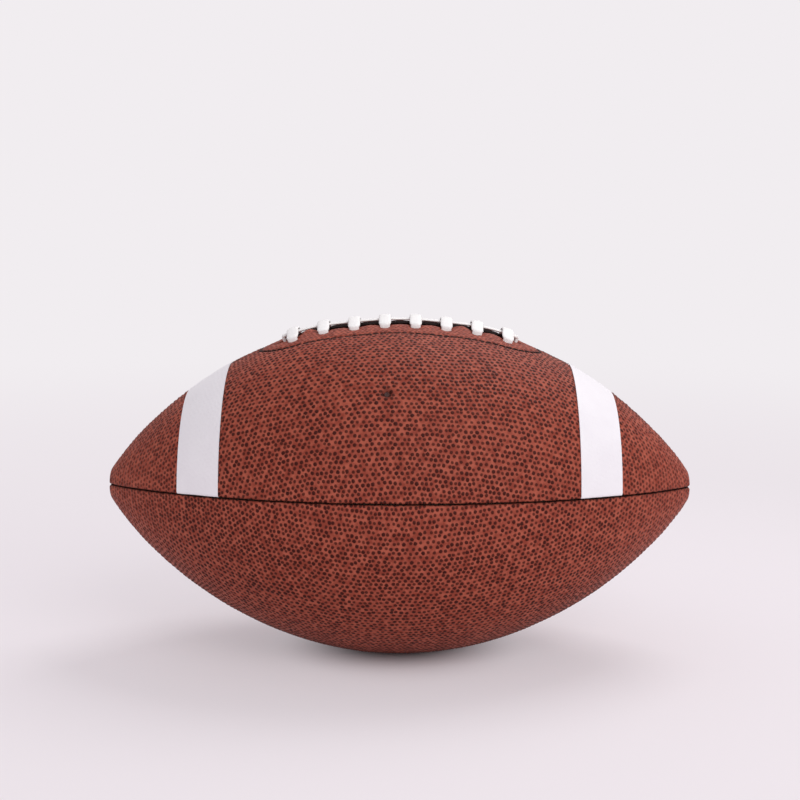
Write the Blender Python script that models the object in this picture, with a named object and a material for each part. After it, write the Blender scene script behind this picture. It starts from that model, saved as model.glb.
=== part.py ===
"""American football: leather panels, linings, bladder, valve, seams, stripes and lacing.

The origin lies under the middle of the ball, on the surface that it rests on. +X runs along the
ball, +Z goes up through the lacing and -Y is the side with the valve. Units are metres. A place on
the cover is given by s, the distance along the cover's profile from the middle of the ball, by an
angle that turns from the lacing towards the valve's side, and by a depth under the surface.
"""
import math

import bmesh
import bpy
import numpy as np
from mathutils import Vector

MM = 0.001

# Outer form of the cover
BALL_LENGTH = 288 * MM
BALL_DIAMETER = 167 * MM
PROFILE_FULLNESS = 0.82
NOSE_RADIUS = 7.8 * MM
NOSE_ROUNDING = 3 * MM
NOSE_OPENING = 1.8 * MM
FLAT_DEPTH = 0.5 * MM

# Gap that neighbours keep between their faces
CLEARANCE = 0.3 * MM

# Thickness of each layer
LEATHER = 2.3 * MM
LINING = 0.8 * MM
FACING = 1.5 * MM
TONGUE = 1.2 * MM
BLADDER = 0.9 * MM

# Seams: the panels' edges turn in, and a thread holds the turned edges together
EDGE_ROUNDING = 2 * MM
SEAM_ALLOWANCE = 6 * MM
SEAM_THREAD = 0.9 * MM

# Angle from the lacing round to each side seam. The laced panels are the narrower ones, because
# their laced edges turn in further than the sewn ones.
SIDE_SEAM = math.radians(86)

# White stripes, measured along the cover from the nose
STRIPE_FROM_NOSE = 61.6 * MM
STRIPE_WIDTH = 25.4 * MM
STRIPE_FILM = 0.3 * MM
STRIPE_PROUD = 0.1 * MM

# Lacing
CROSS_COUNT = 8
CROSS_PITCH = 14.9 * MM
HOLE_REACH = 16 * MM
END_HOLE_BEYOND = 5.2 * MM
LACE_WIDTH = 5.4 * MM
LACE_THICKNESS = 1.4 * MM
LACE_EDGE = 0.5 * MM
LACE_TUCK = 3 * MM
LACING_DIP = 1.8 * MM
DIP_HALF = 16 * MM
DIP_FADE = 36 * MM
DIP_SIDE_FADE = 35 * MM

# Stitched line round the lacing, and the facings and tongue under it
STITCH_MARGIN = 9 * MM
STITCH_BEYOND = 13.7 * MM
STITCH_THREAD = 0.8 * MM
STITCH_SUNK = 0.2 * MM
FACING_MARGIN = 3 * MM
TONGUE_MARGIN = 3 * MM
TONGUE_BEYOND = 4.7 * MM
SLIT_BEYOND = 2 * MM

# Inflation valve
VALVE_PLACE = -6 * MM
VALVE_ANGLE = math.radians(50)
VALVE_STEM = 5 * MM
VALVE_SUNK = 0.6 * MM
VALVE_FLANGE = 12 * MM
VALVE_FLANGE_THICKNESS = 1.2 * MM
VALVE_PLUG = 2.8 * MM
VALVE_PLUG_LENGTH = 6.5 * MM
VALVE_SIDES = 16

# Colours of the materials, linear
LEATHER_BROWN = (0.168, 0.042, 0.026)
STRIPE_WHITE = (0.83, 0.80, 0.83)
LACE_WHITE = (0.80, 0.78, 0.78)
THREAD_BROWN = (0.028, 0.014, 0.010)
THREAD_PALE = (0.55, 0.49, 0.38)
CANVAS = (0.60, 0.55, 0.45)
RUBBER_BLACK = (0.020, 0.020, 0.022)
RUBBER_GREY = (0.080, 0.080, 0.085)

# Worked out from the sizes above
RADIUS = BALL_DIAMETER / 2
HALF_LENGTH = BALL_LENGTH / 2
QUARTER = math.pi / 2
HALF_TURN = math.pi
FULL_TURN = 2 * math.pi
HALF_GAP = CLEARANCE / 2
FACET_ROOM = 0.35 * MM
LINING_TOP = LEATHER + CLEARANCE
LINING_UNDER = LINING_TOP + LINING
FACING_TOP = LINING_UNDER + CLEARANCE + FACET_ROOM
FACING_UNDER = FACING_TOP + FACING
LACE_SEAT = LACE_THICKNESS / 2 + CLEARANCE
LACE_UNDER = FACING_UNDER + 2 * FACET_ROOM + LACE_SEAT
TONGUE_TOP = LACE_UNDER + LACE_SEAT
TONGUE_UNDER = TONGUE_TOP + TONGUE
BLADDER_TOP = LINING_UNDER + CLEARANCE
BLADDER_DENT = TONGUE_UNDER + CLEARANCE + 2 * FACET_ROOM
LACED_HALF = CROSS_PITCH * (CROSS_COUNT - 1) / 2
END_HOLE = LACED_HALF + END_HOLE_BEYOND
SLIT_HALF = END_HOLE + LACE_SEAT + SLIT_BEYOND
STITCH_REACH = HOLE_REACH + STITCH_MARGIN
STITCH_HALF = END_HOLE + STITCH_BEYOND
TONGUE_REACH = HOLE_REACH + TONGUE_MARGIN
TONGUE_HALF = END_HOLE + TONGUE_BEYOND
THREAD_ROOM = (SEAM_THREAD / 2 + CLEARANCE) * math.sqrt(2)
THREAD_DEPTH = (EDGE_ROUNDING + SEAM_ALLOWANCE) / 2
LAYER_START = HALF_GAP + LEATHER + CLEARANCE
VALVE_HOLE = VALVE_STEM + 2 * CLEARANCE

# A rounded edge's middle lies at this share of its radius, both ways
DIAGONAL = math.sqrt(0.5)

# Seams that each panel, and what lies behind it, runs between
PANEL_SEAMS = {
    "upper_front": (0, SIDE_SEAM),
    "lower_front": (SIDE_SEAM, HALF_TURN),
    "lower_back": (HALF_TURN, FULL_TURN - SIDE_SEAM),
    "upper_back": (FULL_TURN - SIDE_SEAM, FULL_TURN),
}

# Shares of a panel's turn where its outer face and the layers under it have corners
OUTER_SHARES = [step / 10 for step in range(1, 10)]
INNER_SHARES = [0.1, 0.225, 0.4, 0.6, 0.775, 0.9]

# The layers' corners of a laced panel that lie nearest the slit, at these shares of its turn
SLIT_SHARE = INNER_SHARES[0]
FACING_SHARE = INNER_SHARES[1]
WIDEST_SHARE = max(np.diff([0] + INNER_SHARES + [1]))

# The bladder's dent under the tongue is full this far past the tongue, and then fades
DENT_BEYOND = 12 * MM
DENT_FADE = 13 * MM

# Radius of the ball up to which the turned edges are cut short, and from which they are full
ALLOWANCE_FROM = 8 * MM
ALLOWANCE_FULL = 14 * MM

# Length of the bladder's drawn-in tip past its last ring, and the share of the ring left there
BLADDER_TIP = 2 * MM
TIP_SHARE = 0.3

# Places of the shapes' rings: shares of the slit's half length, and of the way from the stripe to
# the nose. Neighbours keep a least distance.
SLIT_STEPS = (0.32, 0.64, 0.94)
NOSE_STEPS = (0.27, 0.52, 0.75, 0.9)
STATION_ROOM = 2 * MM

# Share of the ball's narrowest radius that a turned edge may fill, and share of the edge's flat part
# that the thread's notch may take to each side of its middle
EDGE_FILL = 0.6
NOTCH_SHARE = 0.35

# The stitched line's distance from the slit is its reach times
# (1 - (x / half length)^STITCH_SQUARENESS)^STITCH_FULLNESS
STITCH_SQUARENESS = 8
STITCH_FULLNESS = 0.7
STITCH_STEPS = 21

# Radius of the ball under which its corners are spaced evenly between the seams
NARROW_RADIUS = 30 * MM

# Points that the profile's table has on the body, and on the nose's arc and its flat end
BODY_POINTS = 600
NOSE_POINTS = 20

# Angle between faces from which an edge is shaded sharp, and distance at which points are merged
SHARP_ANGLE = math.radians(35)
MERGE_DISTANCE = 0.001 * MM


def clear_scene():
    """Removes what the file opened with."""
    for found in list(bpy.data.objects):
        bpy.data.objects.remove(found, do_unlink=True)


def fade(share):
    """One at share 0 and below, nought at 1 and above, with a smooth step between."""
    share = min(max(share, 0), 1)
    return 1 - share * share * (3 - 2 * share)


def profile_table():
    """Distance along the profile, x, radius and outward normal, from the middle to the nose.

    The body's radius is RADIUS * (1 - (x / reach)^2)^PROFILE_FULLNESS. It meets an arc of
    NOSE_ROUNDING at NOSE_RADIUS, and the arc meets a flat end that stops at NOSE_OPENING.
    """
    start = HALF_LENGTH
    for _ in range(40):
        reach = start / math.sqrt(1 - (NOSE_RADIUS / RADIUS) ** (1 / PROFILE_FULLNESS))
        rest = 1 - (start / reach) ** 2
        slope = 2 * PROFILE_FULLNESS * RADIUS * start / reach ** 2 * rest ** (PROFILE_FULLNESS - 1)
        lean = math.atan(slope)
        start = HALF_LENGTH - NOSE_ROUNDING * (1 - math.sin(lean))
    body_x = start * np.sin(np.linspace(0, QUARTER, BODY_POINTS))
    rest = 1 - (body_x / reach) ** 2
    body_r = RADIUS * rest ** PROFILE_FULLNESS
    body_slope = 2 * PROFILE_FULLNESS * RADIUS * body_x / reach ** 2 * rest ** (PROFILE_FULLNESS - 1)
    body_lean = np.arctan(body_slope)
    arc_lean = np.linspace(lean, QUARTER, NOSE_POINTS)[1:]
    arc_x = start + NOSE_ROUNDING * (np.sin(arc_lean) - math.sin(lean))
    arc_r = NOSE_RADIUS + NOSE_ROUNDING * (np.cos(arc_lean) - math.cos(lean))
    end_r = np.linspace(arc_r[-1], NOSE_OPENING, NOSE_POINTS)[1:]
    x = np.concatenate([body_x, arc_x, np.full(len(end_r), HALF_LENGTH)])
    r = np.concatenate([body_r, arc_r, end_r])
    lean = np.concatenate([body_lean, arc_lean, np.full(len(end_r), QUARTER)])
    along = np.concatenate([[0], np.cumsum(np.hypot(np.diff(x), np.diff(r)))])
    marks = (along[len(body_x) - 1], along[len(body_x) + len(arc_x) - 1], along[-1])
    return (along, x, r, np.sin(lean), np.cos(lean)), marks


PROFILE, (ARC_START, ARC_END, PROFILE_END) = profile_table()
STRIPE_START = PROFILE_END - STRIPE_FROM_NOSE - STRIPE_WIDTH


def profile(s):
    """x, radius and the two parts of the normal at distance s along the profile."""
    x, r, normal_x, normal_r = (float(np.interp(abs(s), PROFILE[0], row)) for row in PROFILE[1:])
    side = math.copysign(1, s)
    return side * x, r, side * normal_x, normal_r


def along_at(x):
    """Distance along the profile of the point at x."""
    return math.copysign(float(np.interp(abs(x), PROFILE[1], PROFILE[0])), x)


def along_at_radius(radius):
    """Distance along the profile where the ball has a radius."""
    return float(np.interp(-radius, -PROFILE[2], PROFILE[0]))


def place(s, angle, depth):
    """Point of the ball, measured from its centre. The lacing draws the cover in round itself."""
    x, r, normal_x, normal_r = profile(s)
    turned = (angle + HALF_TURN) % FULL_TURN - HALF_TURN
    beyond = fade((abs(turned) * r - STITCH_REACH) / DIP_SIDE_FADE)
    drawn_in = LACING_DIP * beyond * fade((abs(s) - DIP_HALF) / DIP_FADE)
    radial = r - depth * normal_r - drawn_in
    return Vector((x - depth * normal_x, -radial * math.sin(angle), radial * math.cos(angle)))


def across_at(x, across, lift):
    """Point above the cover near the lacing: x along the ball, across along the cover."""
    s = along_at(x)
    return place(s, across / profile(s)[1], -lift)


def beside(s, seam, offset, depth):
    """Angle of the point at a signed offset from a seam's plane."""
    _, r, _, normal_r = profile(s)
    return seam + math.asin(offset / (r - depth * normal_r))


def spread(s, start, end, seams, shares):
    """Angles between a layer's two corners: the same ones for all layers where the ball is wide,
    and evenly spaced between the corners where it is narrow."""
    if profile(s)[1] < NARROW_RADIUS:
        return [start + (end - start) * share for share in shares]
    return [seams[0] + (seams[1] - seams[0]) * share for share in shares]


def allowance(s):
    """Depth of a panel's turned edge, which is cut short towards the nose."""
    _, r, _, _ = profile(s)
    grown = 1 - fade((r - ALLOWANCE_FROM) / (ALLOWANCE_FULL - ALLOWANCE_FROM))
    least = LEATHER + CLEARANCE
    return least + (SEAM_ALLOWANCE - least) * grown


def material(name, colour, roughness, metallic=0):
    """Principled material of a part's colour."""
    made = bpy.data.materials.new(name)
    made.use_nodes = True
    shader = made.node_tree.nodes["Principled BSDF"]
    shader.inputs["Base Color"].default_value = (*colour, 1)
    shader.inputs["Roughness"].default_value = roughness
    shader.inputs["Metallic"].default_value = metallic
    return made


def add_mesh(name, bm, finish, centre):
    """Object from a bmesh, shaded smooth, hung on the empty at the ball's centre."""
    bmesh.ops.recalc_face_normals(bm, faces=bm.faces)
    mesh = bpy.data.meshes.new(name)
    bm.to_mesh(mesh)
    bm.free()
    mesh.shade_smooth()
    mesh.set_sharp_from_angle(angle=SHARP_ANGLE)
    if finish:
        mesh.materials.append(finish)
    made = bpy.data.objects.new(name, mesh)
    bpy.context.collection.objects.link(made)
    made.parent = centre
    return made


def loft_into(bm, rings):
    """Closed skin through rings of points, each ring extruded from the one before it."""
    start = bm.faces.new([bm.verts.new(point) for point in rings[0]])
    face = start
    for ring in rings[1:]:
        grown = bmesh.ops.extrude_face_region(bm, geom=[face])
        if face is not start:
            bm.faces.remove(face)
        face = next(item for item in grown["geom"] if isinstance(item, bmesh.types.BMFace))
        for vert, point in zip(face.verts, ring):
            vert.co = point
    bmesh.ops.triangulate(bm, faces=bm.faces, quad_method='SHORT_EDGE')


def loft(name, rings, finish, centre):
    """Object with one skin through rings of points."""
    bm = bmesh.new()
    loft_into(bm, rings)
    return add_mesh(name, bm, finish, centre)


def sweep_rings(stations, outline):
    """Rings of an outline carried along stations, each a point and the outline's width direction."""
    rings = []
    for index, (point, wide) in enumerate(stations):
        before = stations[max(index - 1, 0)][0]
        after = stations[min(index + 1, len(stations) - 1)][0]
        ahead = (after - before).normalized()
        thick = ahead.cross(wide).normalized()
        wide = thick.cross(ahead)
        rings.append([point + wide * across + thick * up for across, up in outline])
    return rings


def round_outline(radius, sides=6):
    """Regular outline of a thread."""
    turns = [FULL_TURN * side / sides for side in range(sides)]
    return [(radius * math.cos(turn), radius * math.sin(turn)) for turn in turns]


def cutter(made):
    """Marks an object as a cutter, which is not a piece of the ball."""
    made.hide_render = True
    made.display_type = 'WIRE'
    return made


def cut(target, tool):
    """Boolean that takes a cutter's shape away from a piece."""
    boolean = target.modifiers.new(tool.name, 'BOOLEAN')
    boolean.object = tool
    boolean.operation = 'DIFFERENCE'
    boolean.solver = 'EXACT'


def mirrored(distances):
    """Distances from the middle, on both sides of it, in order."""
    return [-distance for distance in reversed(distances)] + [0] + distances


def middle_stations():
    """Distances shared by all layers, from the middle to the stripe: three along the slit and one
    between the slit's end and the stripe."""
    slit_end = along_at(SLIT_HALF)
    steps = [slit_end * share for share in SLIT_STEPS] + [(slit_end + STRIPE_START) / 2]
    return [step for step in steps if step < STRIPE_START - STATION_ROOM]


def outer_stations():
    """Distances along a panel from the stripe to the nose."""
    stripe_end = STRIPE_START + STRIPE_WIDTH
    rest = ARC_START - stripe_end
    steps = [stripe_end + rest * share for share in NOSE_STEPS]
    return steps + [ARC_START, ARC_END, PROFILE_END]


def stripe_stations():
    """Distances at the edges and the middle of the stripe's recess, and how deep it is there."""
    ramp = HALF_GAP
    recess = STRIPE_FILM - STRIPE_PROUD + CLEARANCE
    end = STRIPE_START + STRIPE_WIDTH
    middle = (STRIPE_START + end) / 2
    return [(STRIPE_START - ramp, 0), (STRIPE_START + ramp, recess), (middle, recess),
            (end - ramp, recess), (end + ramp, 0)]


def layer_stations():
    """Distances along the linings and the bladder."""
    steps = middle_stations() + [STRIPE_START, STRIPE_START + STRIPE_WIDTH]
    end = along_at_radius(ALLOWANCE_FULL + 4 * CLEARANCE)
    return steps + [(steps[-1] + end) / 2, end]


def panel_ring(s, seams, sunk):
    """Outline of a panel across the ball: outer face, turned edges and inner face."""
    _, r, _, normal_r = profile(s)
    deep = allowance(s)
    narrowest = r - deep * normal_r
    squeeze = min(1, (EDGE_FILL * narrowest - HALF_GAP) / LEATHER)
    rounding = EDGE_ROUNDING * squeeze
    slack = NOTCH_SHARE * (deep - rounding)
    notch_high = min(THREAD_ROOM, slack)
    notch_deep = min(THREAD_ROOM - HALF_GAP, slack) * squeeze
    middle = (rounding + deep) / 2
    corner = rounding * (1 - DIAGONAL)
    edge = [(0, deep), (0, middle + notch_high), (notch_deep, middle), (0, rounding),
            (corner, corner + sunk * DIAGONAL), (rounding, sunk)]
    inner = [(LEATHER * squeeze, LEATHER), (LEATHER * squeeze, deep)]

    def turned_edge(seam, side, points):
        return [(beside(s, seam, side * (HALF_GAP + offset), depth), depth) for offset, depth in points]

    start = turned_edge(seams[0], 1, edge)
    end = turned_edge(seams[1], -1, edge[::-1])
    face = [(angle, sunk) for angle in spread(s, start[-1][0], end[0][0], seams, OUTER_SHARES)]
    inner_end = turned_edge(seams[1], -1, inner[::-1])
    inner_start = turned_edge(seams[0], 1, inner)
    back = spread(s, inner_start[0][0], inner_end[1][0], seams, INNER_SHARES)
    under = [(angle, LEATHER) for angle in reversed(back)]
    outline = start + face + end + inner_end + under + inner_start
    return [place(s, angle, depth) for angle, depth in outline]


def make_panel(name, seams, striped, finish, centre):
    """One of the cover's four panels. Only the upper panels have the stripes' recesses."""
    if striped:
        stripe = stripe_stations()
    else:
        stripe = [(STRIPE_START, 0), (STRIPE_START + STRIPE_WIDTH, 0)]
    half = [(s, 0) for s in middle_stations()] + stripe + [(s, 0) for s in outer_stations()]
    whole = [(-s, sunk) for s, sunk in reversed(half)] + [(0, 0)] + half
    rings = [panel_ring(s, seams, sunk) for s, sunk in whole]
    return loft(name, rings, finish, centre)


def layer_ring(s, seams, top, under):
    """Outline of a layer behind one panel, between the panel's turned edges."""
    outline = []
    for depth in (top, under):
        start = beside(s, seams[0], LAYER_START, depth)
        end = beside(s, seams[1], -LAYER_START, depth)
        row = [start] + spread(s, start, end, seams, INNER_SHARES) + [end]
        outline.append([(angle, depth) for angle in row])
    return [place(s, angle, depth) for angle, depth in outline[0] + outline[1][::-1]]


def make_lining(name, seams, finish, centre):
    """Cloth behind one panel."""
    rings = [layer_ring(s, seams, LINING_TOP, LINING_UNDER) for s in mirrored(layer_stations())]
    return loft(name, rings, finish, centre)


def bladder_ring(s, extra):
    """Outline of the bladder, which gives way to the turned edges and to the tongue."""
    points = []
    dented = fade((abs(s) - TONGUE_HALF - DENT_BEYOND) / DENT_FADE)
    dent = BLADDER_TOP + (BLADDER_DENT - BLADDER_TOP) * dented + extra
    plain = BLADDER_TOP + extra
    ridge = allowance(s) + CLEARANCE + extra
    for name, seams in PANEL_SEAMS.items():
        start = beside(s, seams[0], LAYER_START, ridge)
        end = beside(s, seams[1], -LAYER_START, ridge)
        angles = spread(s, start, end, seams, INNER_SHARES)
        depths = [ridge] + [plain] * len(angles) + [ridge]
        if name == "upper_front":
            depths[:3] = [max(depth, dent) for depth in depths[:3]]
        if name == "upper_back":
            depths[-3:] = [max(depth, dent) for depth in depths[-3:]]
        points += [place(s, angle, depth) for angle, depth in zip([start] + angles + [end], depths)]
    return points


def bladder_rings(extra):
    """Rings of the bladder's skin, drawn together past its last ring at each end."""
    rings = [bladder_ring(s, extra) for s in mirrored(layer_stations())]
    tips = []
    for ring, side in ((rings[0], -1), (rings[-1], 1)):
        end = side * (max(abs(point.x) for point in ring) + BLADDER_TIP - extra)
        tips.append([Vector((end, point.y * TIP_SHARE, point.z * TIP_SHARE)) for point in ring])
    return [tips[0]] + rings + [tips[1]]


def make_bladder(valve_hole, finish, centre):
    """Hollow rubber bladder, open only where the valve goes through it."""
    bladder = loft("bladder", bladder_rings(0), finish, centre)
    cut(bladder, cutter(loft("bladder_hollow", bladder_rings(BLADDER), None, centre)))
    cut(bladder, valve_hole)
    return bladder


def make_seam_thread(name, seam, from_s, to_s, finish, centre):
    """Thread along the turned edges of a seam, in the notch that both edges leave for it."""
    marks = mirrored(middle_stations() + [STRIPE_START, STRIPE_START + STRIPE_WIDTH]
                     + outer_stations())
    inside = [s for s in marks if from_s + STATION_ROOM < s < to_s - STATION_ROOM]
    stations = []
    for s in [from_s] + inside + [to_s]:
        point = place(s, seam, THREAD_DEPTH)
        stations.append((point, point - place(s, seam, 2 * THREAD_DEPTH)))
    return loft(name, sweep_rings(stations, round_outline(SEAM_THREAD / 2)), finish, centre)


def make_stripe(name, seams, side, finish, centre):
    """White film in its recess, from one seam to the other."""
    top = -STRIPE_PROUD
    under = top + STRIPE_FILM
    corner = EDGE_ROUNDING * (1 - DIAGONAL)
    rings = []
    for s in (STRIPE_START + CLEARANCE, STRIPE_START + STRIPE_WIDTH / 2,
              STRIPE_START + STRIPE_WIDTH - CLEARANCE):
        rows = []
        for depth in (top, under):
            edge = [(corner, corner + depth * DIAGONAL), (EDGE_ROUNDING, depth)]
            start = [(beside(s, seams[0], HALF_GAP + off, deep), deep) for off, deep in edge]
            end = [(beside(s, seams[1], -HALF_GAP - off, deep), deep) for off, deep in edge[::-1]]
            face = spread(s, start[-1][0], end[0][0], seams, OUTER_SHARES)
            rows.append(start + [(angle, depth) for angle in face] + end)
        rings.append([place(side * s, angle, depth) for angle, depth in rows[0] + rows[1][::-1]])
    return loft(name, rings, finish, centre)


def stitch_across(x):
    """Distance of the stitched line from the slit: nearly level, then drawn in at both ends."""
    share = min(abs(x) / STITCH_HALF, 1)
    least = LAYER_START + CLEARANCE
    return max(STITCH_REACH * (1 - share ** STITCH_SQUARENESS) ** STITCH_FULLNESS, least)


def stitch_stations(side, depth):
    """Stations of the stitched line on one side of the lacing."""
    end = STITCH_HALF - STITCH_THREAD
    places = end * np.sin(np.linspace(-QUARTER, QUARTER, STITCH_STEPS))
    stations = []
    for x in places:
        across = side * stitch_across(x)
        point = across_at(x, across, -depth)
        stations.append((point, across_at(x, across, MM) - across_at(x, across, 0)))
    return stations


def make_facing(name, side, finish, centre):
    """Leather strip that backs the holes of one side of the lacing."""
    rings = []
    end = along_at(STITCH_HALF - FACING_MARGIN)
    for s in mirrored([s for s in middle_stations() if s < end - STATION_ROOM] + [end]):
        x, r, _, _ = profile(s)
        edge = min(stitch_across(x) + FACING_MARGIN, SIDE_SEAM * FACING_SHARE * r)
        near = LAYER_START + CLEARANCE
        bend = min(SIDE_SEAM * SLIT_SHARE * r, (near + edge) / 2)
        top = [place(s, side * across / r, FACING_TOP) for across in (near, bend, edge)]
        under = [place(s, side * across / r, FACING_UNDER) for across in (edge, bend, near)]
        rings.append(top + under)
    return loft(name, rings, finish, centre)


def make_tongue(finish, centre):
    """Strip between the lace and the bladder."""
    rings = []
    stations = [s for s in middle_stations() if s < TONGUE_HALF - STATION_ROOM] + [TONGUE_HALF]
    for s in mirrored(stations):
        r = profile(s)[1]
        bend = SIDE_SEAM * SLIT_SHARE * r
        row = (-TONGUE_REACH, -bend, 0, bend, TONGUE_REACH)
        top = [place(s, across / r, TONGUE_TOP) for across in row]
        under = [place(s, across / r, TONGUE_UNDER) for across in reversed(row)]
        rings.append(top + under)
    return loft("lace_tongue", rings, finish, centre)


def cross_places():
    """x of each cross lace, from right to left, in the order in which the lace makes them."""
    return [LACED_HALF - CROSS_PITCH * index for index in range(CROSS_COUNT)]


def hole_turn(lifted):
    """Across and lift of the bend round a hole's edge, from over it to inside it."""
    level = lifted - math.copysign(LACE_SEAT, lifted)
    edge = HOLE_REACH - LACE_SEAT
    bend = LACE_SEAT * DIAGONAL
    return [(edge, lifted), (edge + bend, level + math.copysign(bend, lifted)), (HOLE_REACH, level)]


def lace_over(x):
    """Stations of one cross lace on top, from the hole in front over the strand to the back hole.
    It leaves the cover a third of the way in, to rise over the strand."""
    over = LACE_SEAT + LACE_THICKNESS + CLEARANCE
    rise = [(0.66, LACE_SEAT * 1.1), (0.43, (LACE_SEAT + over) / 2), (0.25, over * 0.98)]
    climb = hole_turn(LACE_SEAT)[::-1] + [(share * HOLE_REACH, lift) for share, lift in rise]
    path = climb + [(0, over)] + [(-across, lift) for across, lift in climb[::-1]]
    return [(x, across, lift, 1, 0) for across, lift in path]


def lace_below(from_x, to_x):
    """Stations under the facings, from a back hole to the next hole in front. The lace shifts along
    the ball by a smooth step, and lean is the step's slope there."""
    dive = hole_turn(-LACE_UNDER)[::-1]
    stations = [(from_x, -across, lift, 1, 0) for across, lift in dive[:2]]
    edge = HOLE_REACH - LACE_SEAT
    for share in np.linspace(0, 1, 5):
        shift = 1 - fade(share)
        lean = 6 * share * (1 - share) * (to_x - from_x) / (2 * edge)
        long = math.hypot(1, lean)
        x = from_x + (to_x - from_x) * shift
        stations.append((x, edge * (2 * share - 1), -LACE_UNDER, 1 / long, -lean / long))
    return stations + [(to_x, across, lift, 1, 0) for across, lift in dive[:2][::-1]]


def strand_turn(side):
    """Stations from the end hole at x = side * END_HOLE to level under the facings, and round a
    quarter turn. On the right the lace goes on to the first cross in front. On the left it starts
    behind, where its tail is tucked in."""
    radius = END_HOLE_BEYOND
    edge = END_HOLE - LACE_SEAT
    bend = LACE_SEAT * DIAGONAL
    deep = -LACE_UNDER
    down = [(side * END_HOLE, 0, deep + LACE_SEAT, 0, 1),
            (side * (edge + bend), 0, deep + LACE_SEAT - bend, 0, 1)]
    turn = []
    for angle in np.linspace(0, QUARTER, 4):
        x = side * (edge - (radius - LACE_SEAT) * math.sin(angle))
        across = side * radius * (1 - math.cos(angle))
        turn.append((x, across, deep, math.sin(angle), math.cos(angle)))
    return down + turn


def strand_over():
    """Stations of the lengthwise strand, from the left end hole to the right one."""
    edge = END_HOLE - LACE_SEAT
    bend = LACE_SEAT * DIAGONAL
    rise = [(END_HOLE, 0), (edge + bend, bend), (edge, LACE_SEAT)]
    level = [(x, LACE_SEAT) for x in np.linspace(-edge, edge, 11)[1:-1]]
    path = [(-x, lift) for x, lift in rise] + level + rise[::-1]
    return [(x, 0, lift, 0, 1) for x, lift in path]


def lace_route():
    """The whole lace, as x, across, lift and the direction of its width in x and across."""
    places = cross_places()
    tail = strand_turn(-1)[::-1]
    tuck = (places[-1], tail[0][1] - LACE_TUCK, -LACE_UNDER, 1, 0)
    route = [tuck] + tail + strand_over() + strand_turn(1)
    dive = hole_turn(-LACE_UNDER)
    route += [(places[0], across, lift, 1, 0) for across, lift in dive[:2]]
    for index, x in enumerate(places):
        route += lace_over(x)
        if index + 1 < len(places):
            route += lace_below(x, places[index + 1])
    route += [(places[-1], -across, lift, 1, 0) for across, lift in dive[1::-1]]
    route.append((places[-1], -HOLE_REACH + LACE_SEAT + LACE_TUCK, -LACE_UNDER, 1, 0))
    return route


def make_lace(finish, centre):
    """Flat lace carried along its route."""
    stations = []
    for x, across, lift, wide_x, wide_across in lace_route():
        point = across_at(x, across, lift)
        beyond = across_at(x + LACE_EDGE * wide_x, across + LACE_EDGE * wide_across, lift)
        stations.append((point, beyond - point))
    side = LACE_WIDTH / 2
    face = side - LACE_EDGE
    up = LACE_THICKNESS / 2
    outline = [(side, 0), (face, up), (-face, up), (-side, 0), (-face, -up), (face, -up)]
    return loft("lace", sweep_rings(stations, outline), finish, centre)


def slot_rings(x, across, wide, thick):
    """Two rings of a slot through the cover, wide along x and thick across it."""
    half_wide = wide / 2
    half_thick = thick / 2
    outline = [(half_wide, half_thick), (-half_wide, half_thick), (-half_wide, -half_thick),
               (half_wide, -half_thick)]
    along = (across_at(x + MM, across, 0) - across_at(x, across, 0)).normalized()
    out = (across_at(x, across, MM) - across_at(x, across, 0)).normalized()
    sideways = out.cross(along)
    middle = across_at(x, across, 0)
    deep = LACE_UNDER + LACE_THICKNESS
    return [[middle + along * a + sideways * b + out * level for a, b in outline]
            for level in (-deep, LEATHER)]


def make_lace_holes(centre):
    """Cutter for the holes of the lace, all in one object."""
    bm = bmesh.new()
    wide = LACE_WIDTH + 2 * CLEARANCE
    thick = LACE_THICKNESS + 2 * CLEARANCE
    for x in cross_places():
        for side in (-1, 1):
            loft_into(bm, slot_rings(x, side * HOLE_REACH, wide, thick))
    for side in (-1, 1):
        loft_into(bm, slot_rings(side * END_HOLE, 0, thick, wide))
    return cutter(add_mesh("lace_holes", bm, None, centre))


def make_slit_trim(centre):
    """Cutter that takes the turned edges away along the slit, where no seam is sewn."""
    reach = LAYER_START
    from_depth = LEATHER + HALF_GAP
    to_depth = SEAM_ALLOWANCE + LEATHER
    rings = []
    end = along_at(SLIT_HALF)
    for s in mirrored([s for s in middle_stations() if s < end - STATION_ROOM] + [end]):
        outline = [(reach, from_depth), (-reach, from_depth), (-reach, to_depth), (reach, to_depth)]
        rings.append([place(s, beside(s, 0, off, deep), deep) for off, deep in outline])
    return cutter(loft("slit_trim", rings, None, centre))


def make_stitch_groove(name, side, centre):
    """Cutter for the groove of the stitched line."""
    outline = round_outline(STITCH_THREAD / 2 + CLEARANCE)
    rings = sweep_rings(stitch_stations(side, STITCH_SUNK), outline)
    return cutter(loft(name, rings, None, centre))


def make_stitch_thread(name, side, finish, centre):
    """Thread of the stitched line, lying in its groove."""
    stations = stitch_stations(side, STITCH_SUNK)[1:-1]
    return loft(name, sweep_rings(stations, round_outline(STITCH_THREAD / 2)), finish, centre)


def on_valve_axis(made):
    """Sets a piece whose own axis is Z on the valve's axis, with Z pointing out of the ball."""
    s = along_at(VALVE_PLACE)
    out = place(s, VALVE_ANGLE, 0) - place(s, VALVE_ANGLE, MM)
    made.location = place(s, VALVE_ANGLE, 0)
    made.rotation_euler = out.to_track_quat('Z', 'Y').to_euler()
    return made


def valve_cylinder(name, diameter, top, length, finish, centre):
    """Plain cylinder on the valve's axis, from a depth under the cover inwards."""
    bm = bmesh.new()
    bmesh.ops.create_cone(bm, cap_ends=True, segments=VALVE_SIDES, radius1=diameter / 2,
                          radius2=diameter / 2, depth=length)
    bmesh.ops.translate(bm, verts=bm.verts, vec=(0, 0, -top - length / 2))
    return on_valve_axis(add_mesh(name, bm, finish, centre))


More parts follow.
